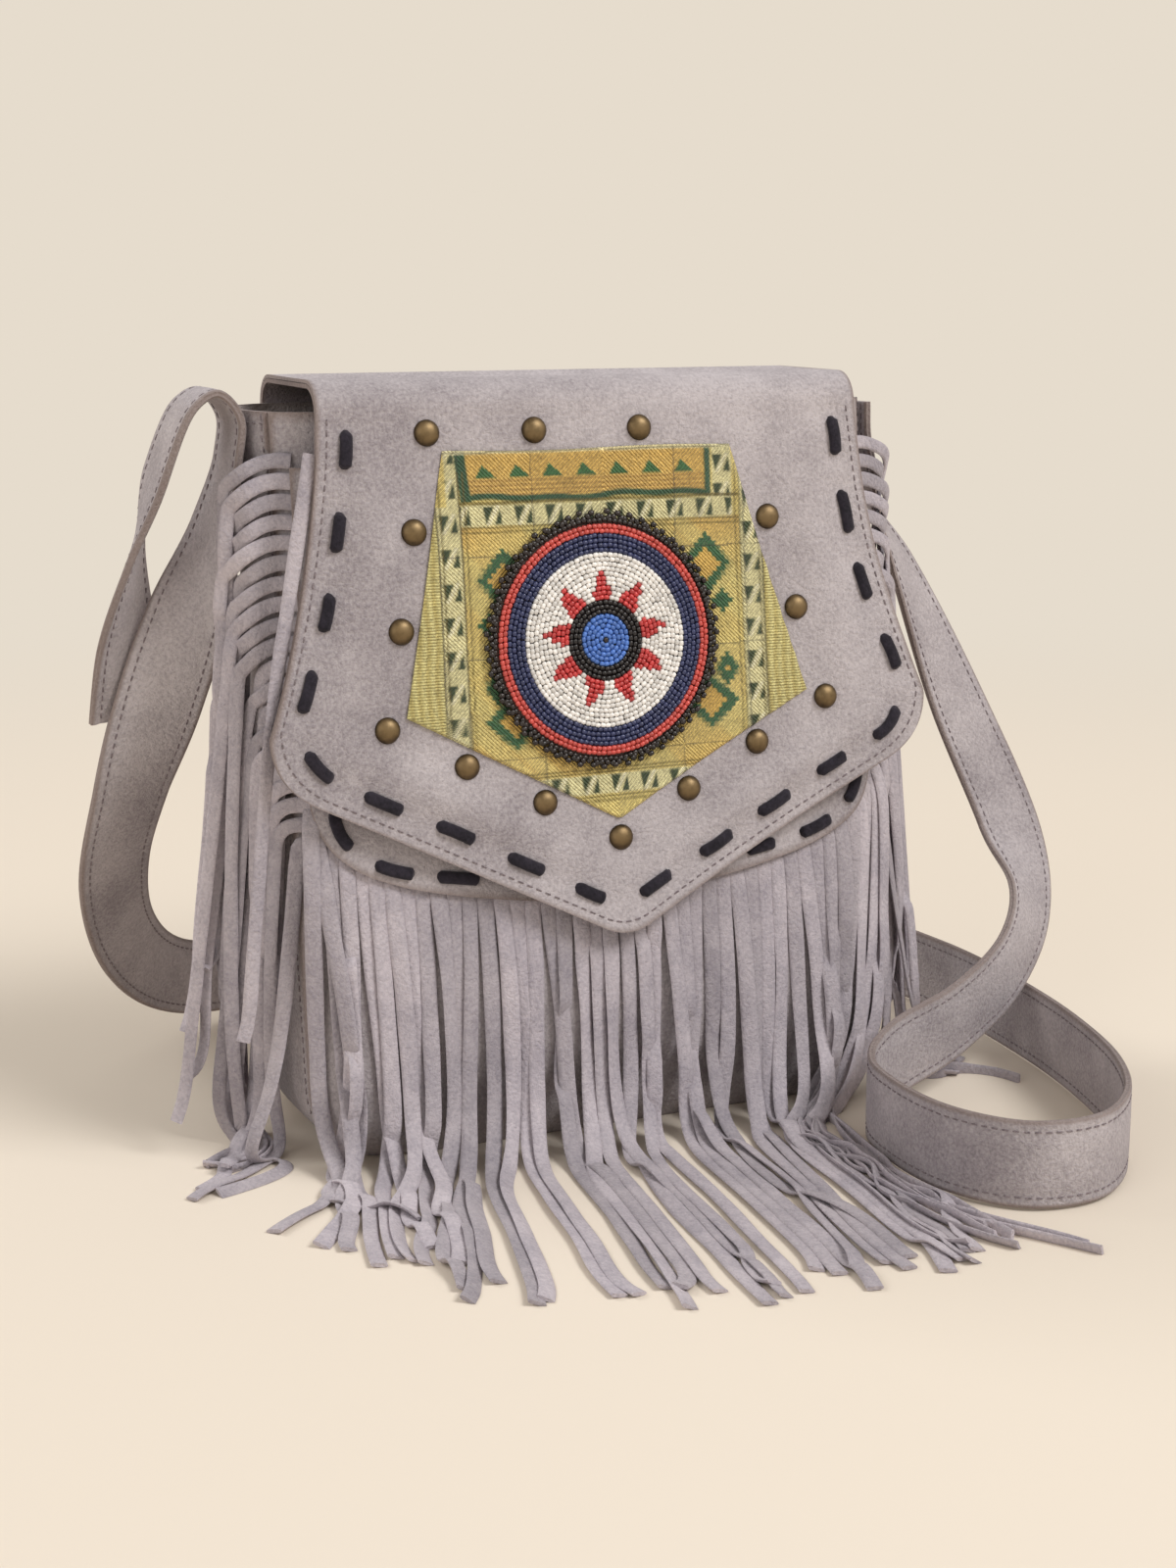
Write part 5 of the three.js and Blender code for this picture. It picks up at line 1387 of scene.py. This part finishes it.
star, ground = star_field & in_star, star_field & ~in_star
BEAD_GROUPS = [
    ("blue_beads", blue, "blue glass beads", "#4f78c4", "bead_blue", "beads_blue_centre"),
    ("black_beads", black, "black glass beads", "#1d191b", "bead_black", "beads_black_ring"),
    ("red_star_beads", star, "red glass beads", "#c43f3f", "bead_red", "beads_red_star"),
    ("white_beads", ground, "white glass beads", "#ebe7e2", "bead_white", "beads_white_field"),
    ("navy_beads", navy, "navy glass beads", "#343a5e", "bead_navy", "beads_navy_band"),
    ("red_rim_beads", rim, "coral glass beads", "#c75048", "bead_red", "beads_red_band"),
]
points_per_bead = len(SEED_BEAD[0])
for name, chosen, glass, code, slot, node in BEAD_GROUPS:
    shape = sew_beads(bead_radius[chosen], bead_angle[chosen], rng.normal(0, 0.09, chosen.sum()))
    group = add_piece(name, shape, bead_glass(glass, code), "flap", replaces=[node])
    paint_points(group, "tone", np.repeat(rng.uniform(0.78, 1.18, chosen.sum()), points_per_bead))

# %% The looped edge, the middle bead and the felt
PICOTS = 58
PICOT_BASE = 132
PICOT_REACH, PICOT_BASE_REACH = 43.6, 41.0
picot_angle = 2 * np.pi * np.repeat(np.arange(PICOTS), 3) / PICOTS
picot_angle = picot_angle + rng.normal(0, 0.008, 3 * PICOTS)
picot_step = np.tile([-1.0, 0.0, 1.0], PICOTS)
picot_radius = PICOT_REACH - 1.4 * picot_step ** 2 + rng.normal(0, 0.25, 3 * PICOTS)
picot_angle = picot_angle + picot_step * 0.033
base_radius = PICOT_BASE_REACH + rng.normal(0, 0.15, PICOT_BASE)
base_angle = 2 * np.pi * np.arange(PICOT_BASE) / PICOT_BASE
picot_shape = join([
    sew_beads(picot_radius, picot_angle, picot_step * -0.9, rise=-0.3, size=1.12),
    sew_beads(base_radius, base_angle, rise=-0.2),
    sew_beads(np.array([0.01]), np.array([0.0]), rise=0.3),
])
picot = add_piece("picot_beads", picot_shape, bead_glass("brown-black glass beads", "#221b1a"),
                  "flap", replaces=["bead_picot_edge"])
picot_tones = rng.uniform(0.6, 1.5, 3 * PICOTS + PICOT_BASE + 1)
paint_points(picot, "tone", np.repeat(picot_tones, points_per_bead))


def felt_disc(radius=41.4, rings=16, around=96):
    """A round sheet that follows the flap: rings from the middle out, on both faces."""
    reach = np.linspace(0.02, 1, rings)[:, None] * radius
    turn = np.linspace(0, 2 * np.pi, around, endpoint=False)[None]
    x, z = MEDALLION[0] + reach * np.cos(turn), MEDALLION[1] + reach * np.sin(turn)
    upper = on_flap(x, z, BACKING_OUT[1] + medallion_dome(reach) + 0 * turn)
    lower = on_flap(x, z, BACKING_OUT[0])[::-1]
    return tube(np.concatenate([upper, lower]))


FELT = suede("brown wool felt", "#6d615b", "#4c433f", cloud_mm=12, pebble_mm=0.9)
backing = add_piece("felt_backing", felt_disc(), FELT, "flap",
                    replaces=["medallion_backing"])

# %% [markdown]
# ## Studs and snap
# The studs are pressed from thin brass and left to darken: a dome with a worn bright crown, darker
# towards its foot, and a round plate on the flap's inner side that its prongs are bent over. The
# magnetic snap has a ring on the yoke and a plate on the facing. All are profiles turned about an
# axis square to the front.


# %% Antique brass
STAIN_SIZE = 3.0


def antique_brass(name, worn, dark):
    """Darkened brass: brown in the hollows, paler where rubbed, with a soft broad highlight."""
    material, tree, shader = new_material(name)
    where = add_node(tree, "ShaderNodeTexCoord").outputs["Object"]
    stain = add_node(tree, "ShaderNodeTexNoise",
                     {"Vector": where, "Scale": 1000 / STAIN_SIZE, "Detail": 4.0,
                      "Roughness": 0.65})
    rubbed = add_node(tree, "ShaderNodeAttribute", attribute_name="crown").outputs["Fac"]
    share, dull = (add_node(tree, "ShaderNodeMapRange",
                            {0: stain.outputs["Fac"], 1: 0.3, 2: 0.7, 3: least, 4: most})
                   for least, most in ((-0.3, 0.3), (0.4, 0.56)))
    wear = add_node(tree, "ShaderNodeMath", {0: rubbed, 1: share.outputs[0]},
                    operation="ADD", use_clamp=True)
    colour = add_node(tree, "ShaderNodeMix", {0: wear.outputs[0], 6: linear(dark), 7: linear(worn)},
                      data_type="RGBA")
    tree.links.new(colour.outputs[2], shader.inputs["Base Color"])
    tree.links.new(dull.outputs[0], shader.inputs["Roughness"])
    shader.inputs["Metallic"].default_value = 1.0
    return material


BRASS = antique_brass("antique brass", "#7f6c50", "#3c3328")
print("metal finish", BRASS.name)

# %% Turned pieces square to the front
TURNED_SIDES = 28
FACE_AXES = np.stack([ACROSS, np.cross(FRONT_NORMAL, ACROSS), FRONT_NORMAL])


def set_in_face(profile, surface, x, z, out):
    """Copies of a turned piece on a surface, square to the front, and their crowns' wear."""
    places = surface(np.asarray(x, float), np.asarray(z, float), out)
    axes = np.broadcast_to(FACE_AXES, (len(places), 3, 3))
    shape = scatter(turned(profile, TURNED_SIDES), places, axes)
    heights = np.array([height for _, height in profile])
    crown = np.clip(heights / max(heights.max(), 0.1), 0, 1)
    return shape, np.tile(np.repeat(crown, TURNED_SIDES), len(places))


print("sides of a turned piece", TURNED_SIDES)

# %% Studs
STUD_DOME = [(3.9, -0.1), (4.5, 0.0), (4.55, 0.35), (4.4, 0.75), (3.95, 1.55), (3.2, 2.2),
             (2.2, 2.7), (1.1, 2.95), (0.05, 3.0)]
STUD_PLATE = [(2.9, -0.7), (3.4, -0.6), (3.5, -0.35), (3.5, 0.05)]
stud_nodes = sorted(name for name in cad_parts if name.startswith("stud_"))
stud_boxes = [np.array([list(corner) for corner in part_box(name)]) / MM for name in stud_nodes]
stud_x, stud_z = np.array([box.mean(0)[[0, 2]] for box in stud_boxes]).T
domes, dome_crown = set_in_face(STUD_DOME, on_flap, stud_x, stud_z, FLAP_OUT[1] - 0.05)
plates, plate_crown = set_in_face(STUD_PLATE, on_flap, stud_x, stud_z, FACING_OUT[0])
studs = add_piece("brass_studs", join([domes, plates]), BRASS, "flap", replaces=stud_nodes)
paint_points(studs, "crown", np.concatenate([dome_crown, plate_crown]))

# %% Magnetic snap
SNAP_PLATE = [(0.05, -0.95), (4.2, -0.95), (4.6, -0.8), (7.2, -0.75), (7.8, -0.5), (8.0, 0.05)]
SNAP_SOCKET = [(8.0, -0.05), (7.9, 0.6), (7.3, 1.0), (5.6, 1.1), (5.2, 0.5), (0.05, 0.45)]
for name, profile, surface, out, body, node in [
    ("snap_plate", SNAP_PLATE, on_flap, FACING_OUT[0], "flap", "snap_stud"),
    ("snap_ring", SNAP_SOCKET, on_front, YOKE_OUT[1], "bag", "snap_socket"),
]:
    height = np.mean([corner[2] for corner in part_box(node)]) / MM
    shape, crown = set_in_face(profile, surface, [0.0], [height], out)
    paint_points(add_piece(name, shape, BRASS, body, replaces=[node]), "crown", crown)

# %% [markdown]
# ## The fringes
# Three combs of suede strands are sewn in: one under the yoke's edge and one along each side seam.
# A strand keeps its length, bends easily, falls under its weight, and lies on whatever it meets:
# the bag, its neighbours, the strap or the ground. Drawing 85 of them by hand would look combed,
# so they are dropped in a small simulation. Every strand is a chain of points, and each
# step moves all points at once: they fall, then the chain is straightened a little, its links are
# put back to their length, and points that went into something are pushed out again. This is
# called position based dynamics. A seeded generator makes every run the same.

# %% Sizes of the fringe
FRONT_STRANDS = 44
SIDE_STRANDS = 20
STRAND_NODES = 36
STRAND_WIDTH = 6.1
SIDE_STRAND_WIDTH = 5.3
STRAND_THICKNESS = 1.4
HEADER_OUT = 1.5
FAN_TIPS = np.array([
    (-140, -98), (-126, -110), (-113, -128), (-96, -146), (-70, -172), (-48, -184), (-24, -189),
    (-2, -190), (20, -192), (40, -194), (57, -195), (70, -194), (90, -190),
], float)
LOOP_FOOT, LOOP_SIDE = 67, 66
LOOP_SOFT = 26
SIDE_LOW, SIDE_HIGH = 112.0, 240.0
strand_rng = np.random.default_rng(11)
print("strands at the front", FRONT_STRANDS, "and at each side", SIDE_STRANDS)


# %% A first guess of how the front strands lie
def beside_loop(x, limit):
    """Draws places near the strap's loop together, close to a limit but not past it."""
    start = limit - LOOP_SOFT
    past = np.maximum(x - start, 0)
    return np.minimum(x, start) + LOOP_SOFT * (1 - np.exp(-past / LOOP_SOFT))


def front_guess():
    """Front strands: square out of the yoke's edge, down the belly, over the ground in a fan."""
    edge = yoke_edge(0.0, 2 * FRONT_STRANDS + 1)
    along = unit_vectors(np.gradient(edge, axis=0))[1::2]
    root = edge[1::2]
    down = np.stack([along[:, 1], -along[:, 0]], -1)
    share = np.linspace(0, 1, FRONT_STRANDS)
    tip = at_marks(share, np.linspace(0, 1, len(FAN_TIPS)), FAN_TIPS)
    tip = tip + strand_rng.normal(0, 1, tip.shape) * (7.0, 8.0)
    x, z = root.T
    foot_x = beside_loop(x + 0.4 * (np.clip(tip[:, 0], -150, 56) - x), LOOP_FOOT)
    foot_y = -62 - 9 * np.cos(x / 75) + strand_rng.normal(0, 2, FRONT_STRANDS)
    level = 1.2 + 2.0 * (np.arange(FRONT_STRANDS) % 3)
    foot_y = foot_y + 9 * smoothstep(foot_x, 30, 66)
    low_x = foot_x + 0.25 * (beside_loop(tip[:, 0], LOOP_SIDE) - foot_x)
    far_x = beside_loop((low_x + tip[:, 0]) / 2, LOOP_SIDE)
    stops = [
        on_panel(*(root - 6 * down).T, HEADER_OUT), on_panel(*(root + 2 * down).T, HEADER_OUT),
        on_panel(*(root + 9 * down).T, 3.0),
        on_front(0.75 * x + 0.25 * foot_x, 0.6 * z, 4.0),
        on_front(0.4 * x + 0.6 * foot_x, 0.28 * z, 7.0),
        np.stack([foot_x, foot_y, 0 * x + 3], -1),
        np.stack([low_x, (2 * foot_y + tip[:, 1]) / 3, level], -1),
        np.stack([far_x, (foot_y + 2 * tip[:, 1]) / 3, level], -1),
        np.stack([*tip.T, level], -1),
    ]
    return np.stack(stops, 1), np.full(FRONT_STRANDS, 9.5)


front_start = front_guess()
print("furthest tip in front", np.round(front_start[0][:, -1, 1].min()), "mm")


# %% A first guess of how the side strands lie
def side_guess(side):
    """Side strands: straight out of the seam, over in an arch, and down.

    The upper ones reach furthest out. The lowest ones turn down at once, in front of the corner.
    """
    share = np.linspace(0, 1, SIDE_STRANDS)
    z = SIDE_LOW + (SIDE_HIGH - SIDE_LOW) * share
    low = (1 - share) ** 5
    reach = 8 + 10 * share - 6 * low + strand_rng.uniform(-4, 4, SIDE_STRANDS) * (1 - 0.6 * low)
    length = 158 + 26 * strand_rng.random(SIDE_STRANDS) + 10 * share
    arch = 6 + 1.45 * reach
    drop = np.maximum(z - 1.1 * reach - (length - arch), 2.5)
    depth = on_panel(side * BODY_HALF + 0 * z, z, 0)[:, 1]
    lane = depth + 3 - 12 * low + 14 * share + 9 * strand_rng.random(SIDE_STRANDS)
    spare = np.maximum(length - arch - (z - 1.1 * reach - drop), 0.5)
    x = lambda out: side * (BODY_HALF + out) + 0 * z
    stops = [
        on_panel(x(-5), z, HEADER_OUT), on_panel(x(2), z, HEADER_OUT),
        np.stack([x(0.6 * reach), depth - 0.8, z - 0.2 * reach], -1),
        np.stack([x(0.9 * reach), 0.7 * depth + 0.3 * lane, z - 0.6 * reach], -1),
        np.stack([x(reach), lane, z - 1.15 * reach], -1),
        np.stack([x(reach + 1), lane, 0.5 * (z + drop)], -1),
        np.stack([x(reach), lane, drop], -1),
        np.stack([x(reach + 0.7 * spare), lane - 0.5 * spare, drop], -1),
    ]
    return np.stack(stops, 1), arch


def edge_strand_guess():
    """The uppermost left strand: it has slipped forward and hangs down along the flap's edge."""
    z = np.array([243.0, 238.0, 215.0, 190.0, 165.0, 142.0, 118.0, 92.0, 70.0, 52.0])
    beside = np.interp(z, (151, 255), (FLAP_LOW_HALF, FLAP_TOP_HALF)) - 0.6
    swing = 20 * smoothstep(-z, -150, -60)
    line = on_front(-beside - swing + 8 * smoothstep(-z, -150, -95), z, 8.0)
    return line[None], np.array([92.0])


side_starts = [side_guess(-1), edge_strand_guess(), side_guess(1)]
print("strands at both sides", sum(len(stops) for stops, _ in side_starts))


# %% Strands as chains of links
def as_chains(stops, held):
    """Equal links along each strand's guessed line, a link's length, and which points are held."""
    chains = np.stack([resample(catmull_rom(line, 6), STRAND_NODES) for line in stops])
    links = np.linalg.norm(np.diff(chains, axis=1), axis=-1).mean(1)
    return chains, links, links[:, None] * np.arange(STRAND_NODES) < held[:, None]


guesses = [as_chains(*start) for start in (front_start, *side_starts)]
chains, links, held = (np.concatenate(rows) for rows in zip(*guesses))
strand_side = np.repeat([0, -1, 1], [FRONT_STRANDS, SIDE_STRANDS + 1, SIDE_STRANDS])[:, None]
front_lengths = links[:FRONT_STRANDS] * (STRAND_NODES - 1)
print("strands", len(chains), "front ones up to", np.round(front_lengths.max()), "mm long")


# %% What the strands meet
def ribbon_normals(lines, first):
    """Each line's direction, and a normal carried along it without twisting, kept square to it."""
    along = unit_vectors(np.gradient(lines, axis=1))
    normals = [np.broadcast_to(first, along[:, 0].shape)]
    for place in range(along.shape[1]):
        leaning = np.sum(normals[-1] * along[:, place], -1, keepdims=True) * along[:, place]
        normals.append(unit_vectors(normals[-1] - leaning))
    return along, np.stack(normals[1:], 1)


STRAND_CLEARANCE = 0.95
SIDE_CLEARANCE = 2.2
UNDER_FLAP = 6.4


def keep_outside(points):
    """Pushes points out of the bag, the flap and the ground."""
    x, y, z = np.moveaxis(points, -1, 0)
    face = on_panel(x, z, 0)[..., 1]
    near = np.abs(x) < half_width(z) + 1.0
    in_front = near & ((strand_side == 0) | (y < face + 2))
    y = np.where(in_front, np.minimum(y, face - STRAND_CLEARANCE), y)
    share = np.clip((y - face) / (BASE_HALF_DEPTH - face), 0, 1)
    wall = BODY_HALF + gusset_swell(strand_side, z, share) + SIDE_CLEARANCE
    beside = (strand_side != 0) & (y >= face) & (np.abs(x) < wall)
    x = np.where(beside, strand_side * wall, x)
    flap_half = np.interp(z, (FLAP_TIP, 135, 151, 255), (0, 121, FLAP_LOW_HALF, FLAP_TOP_HALF))
    under = (np.abs(x) < flap_half) & (z < BODY_TOP)
    y = np.where(under, np.maximum(y, on_front(x, z, UNDER_FLAP)[..., 1]), y)
    return np.stack([x, y, np.maximum(z, STRAND_CLEARANCE)], -1)


def close_pairs(first, second, reach):
    """Index pairs of points nearer than a reach, from the full table of distances."""
    square = (first ** 2).sum(1)[:, None] + (second ** 2).sum(1)[None] - 2 * first @ second.T
    return np.nonzero(square < reach * reach)


strap_reach = np.linspace(1 - STRAP_WIDTH / 2, STRAP_WIDTH / 2 - 1, 8)
strap_grid = strap_line[::2, None] + strap_reach[None, :, None] * strap_across[::2, None]
strap_cloud = strap_grid.reshape(-1, 3).astype(np.float32)
print("points of the strap that strands can meet", len(strap_cloud))

# %% Drop the strands
FALL = 0.09  # how far the weight moves a point in one step, in mm
KEPT_SPEED = 0.93
FASTEST = 3  # in mm for one step
OWN_CURL = 0.4
BEND_STIFFNESS = 0.07
STEPS_PER_SEARCH, ROUNDS = 6, 5
PAIR_REACH, STRAP_REACH = 7.0, 8.0
CONTACT_HIGH, CONTACT_WIDE, CONTACT_LONG = 1.55, 5.9, 5.5
PUSH_SHARE, STRAP_PUSH_SHARE = 0.28, 0.3
STRAP_GAP = 4.0
SLIDE = 0.25  # the share of a move that friction with the ground allows


def settle(chains, links, held, steps):
    """Position based dynamics: fall, straighten, restore the links, push apart, and repeat."""
    points, before = chains.copy(), chains.copy()
    count, nodes = points.shape[:2]
    owner = np.repeat(np.arange(count), nodes)
    lean = np.where(strand_side == 0, 0.06 * strand_rng.normal(0, 1, (count, 1)),
                    strand_side * strand_rng.uniform(-0.02, 0.16, (count, 1)))
    weight = FALL * np.stack([lean, 0 * lean, -1 + 0 * lean], -1)
    wander = strand_rng.normal(0, 1, (2, count, nodes - 2, 1)).cumsum(2)
    curl, bow = OWN_CURL * wander / math.sqrt(nodes)
    for step in range(steps):
        drift = np.clip((points - before) * KEPT_SPEED, -FASTEST, FASTEST)
        before = points.copy()
        points = points + drift + weight
        if step % STEPS_PER_SEARCH == 0:
            flat = points.reshape(-1, 3)
            rough = flat.astype(np.float32)
            one, two = close_pairs(rough, rough, PAIR_REACH)
            apart = (one < two) & (owner[one] != owner[two])
            one, two = one[apart], two[apart]
            along, normal = ribbon_normals(points, FRONT_NORMAL)
            aside = np.cross(normal, along)
            mean_normal = normal.reshape(-1, 3)[one] + normal.reshape(-1, 3)[two]
            mean_normal = unit_vectors(mean_normal + 0.01 * FRONT_NORMAL)
            mean_along = unit_vectors(along.reshape(-1, 3)[one] + along.reshape(-1, 3)[two] + 1e-6)
            mean_side = np.cross(mean_normal, mean_along)
            strand_near, strap_near = close_pairs(rough, strap_cloud, STRAP_REACH)
        for _ in range(ROUNDS):
            wanted = (points[:, :-2] + points[:, 2:]) / 2
            wanted = wanted + curl * normal[:, 1:-1] + bow * aside[:, 1:-1]
            bend = BEND_STIFFNESS * (wanted - points[:, 1:-1])
            points[:, 1:-1] += bend
            points[:, :-2] -= bend / 2
            points[:, 2:] -= bend / 2
            for start in (0, 1):
                a, b = points[:, start:-1:2], points[:, start + 1::2]
                reach = b - a
                long = np.linalg.norm(reach, axis=-1, keepdims=True)
                mend = 0.5 * (long - links[:, None, None]) / np.maximum(long, 1e-6) * reach
                a += mend
                b -= mend
            flat = points.reshape(-1, 3)
            gap = flat[two] - flat[one]
            high, wide, ahead = (np.sum(gap * way, 1)
                                 for way in (mean_normal, mean_side, mean_along))
            inside = ((high / CONTACT_HIGH) ** 2 + (wide / CONTACT_WIDE) ** 2
                      + (ahead / CONTACT_LONG) ** 2 < 1)
            side = np.where(high >= 0, 1.0, -1.0)
            push = side * (CONTACT_HIGH - np.abs(high)) * PUSH_SHARE * inside
            np.add.at(flat, two, push[:, None] * mean_normal)
            np.add.at(flat, one, -push[:, None] * mean_normal)
            off = flat[strand_near] - strap_cloud[strap_near]
            far = np.linalg.norm(off, axis=1, keepdims=True)
            lack = STRAP_PUSH_SHARE * np.clip(STRAP_GAP - far, 0, None)
            np.add.at(flat, strand_near, lack * off / np.maximum(far, 1e-6))
            points = keep_outside(flat.reshape(count, nodes, 3))
            points[held] = chains[held]
        resting = points[..., 2:] < STRAND_CLEARANCE + 0.4
        slid = before[..., :2] + SLIDE * (points[..., :2] - before[..., :2])
        points[..., :2] = np.where(resting, slid, points[..., :2])
    return points


SETTLE_STEPS = 320
strand_lines = settle(chains, links, held, SETTLE_STEPS)
settled_links = np.linalg.norm(np.diff(strand_lines, axis=1), axis=-1)
link_share = (settled_links / links[:, None]).mean()
print("links after settling, share of their length", np.round(link_share, 3))


# %% Strands as ribbons
GROUND_GAP = 0.12


def finer(lines, per_link=3):
    """Points between the links' ends on a uniform Catmull-Rom curve, for all strands at once."""
    before, after = 2 * lines[:, :1] - lines[:, 1:2], 2 * lines[:, -1:] - lines[:, -2:-1]
    ends = np.concatenate([before, lines, after], 1)
    a, b, c, d = (ends[:, place:place + lines.shape[1] - 1, None] for place in range(4))
    t = (np.arange(per_link) / per_link)[None, None, :, None]
    curve = 0.5 * (2 * b + (c - a) * t + (2 * a - 5 * b + 4 * c - d) * t ** 2
                   + (3 * b - a - 3 * c + d) * t ** 3)
    return np.concatenate([curve.reshape(len(lines), -1, 3), lines[:, -1:]], 1)


def ribbons(lines, wide):
    """A rounded flat section carried along every line, each with its own slow twist and width."""
    fine = finer(lines)
    along, normal = ribbon_normals(fine, FRONT_NORMAL)
    count, rows = fine.shape[:2]
    share = np.linspace(0, 1, rows)[None]
    pick = lambda low, high: strand_rng.uniform(low, high, (count, 1))
    twist = pick(0.1, 0.55) * np.sin(2 * np.pi * (pick(0.5, 1.4) * share + pick(0, 1)))
    twist = twist * smoothstep(share, 0.05, 0.25) * (0.35 + 0.65 * smoothstep(fine[..., 2], 1.5, 8))
    side = np.cross(normal, along)
    turn = twist[..., None]
    across = np.cos(turn) * side + np.sin(turn) * normal
    out = np.cos(turn) * normal - np.sin(turn) * side
    width = wide * pick(0.93, 1.05) * (1 - 0.05 * share)
    width = width + 0.15 * np.sin(2 * np.pi * (pick(3, 6) * share + pick(0, 1)))
    section = rounded_profile(1.0, STRAND_THICKNESS, 10)
    rings = fine[:, :, None] + section[:, :1] * (width[..., None, None] * across[:, :, None])
    rings = rings + section[:, 1:] * out[:, :, None]
    rings[..., 2] = np.maximum(rings[..., 2], GROUND_GAP)
    return join([tube(strand) for strand in rings]), rows * len(section)


left_strands = slice(FRONT_STRANDS, -SIDE_STRANDS)
right_strands = slice(-SIDE_STRANDS, None)
strand_groups = [
    ("front_fringe", slice(0, FRONT_STRANDS), "fringe_front", (0.275, 0.235), STRAND_WIDTH),
    ("left_fringe", left_strands, "fringe_left", (0.136, 0.205), SIDE_STRAND_WIDTH),
    ("right_fringe", right_strands, "fringe_right", (0.134, 0.205), SIDE_STRAND_WIDTH),
]
for name, chosen, node, flat, wide in strand_groups:
    shape, per_strand = ribbons(strand_lines[chosen], wide)
    fringe = add_piece(name, shape, SUEDE_STRAND, "bag", replaces=[node])
    tones = strand_rng.uniform(0.8, 1.14, len(strand_lines[chosen]))
    paint_points(fringe, "tone", np.repeat(tones, per_strand))
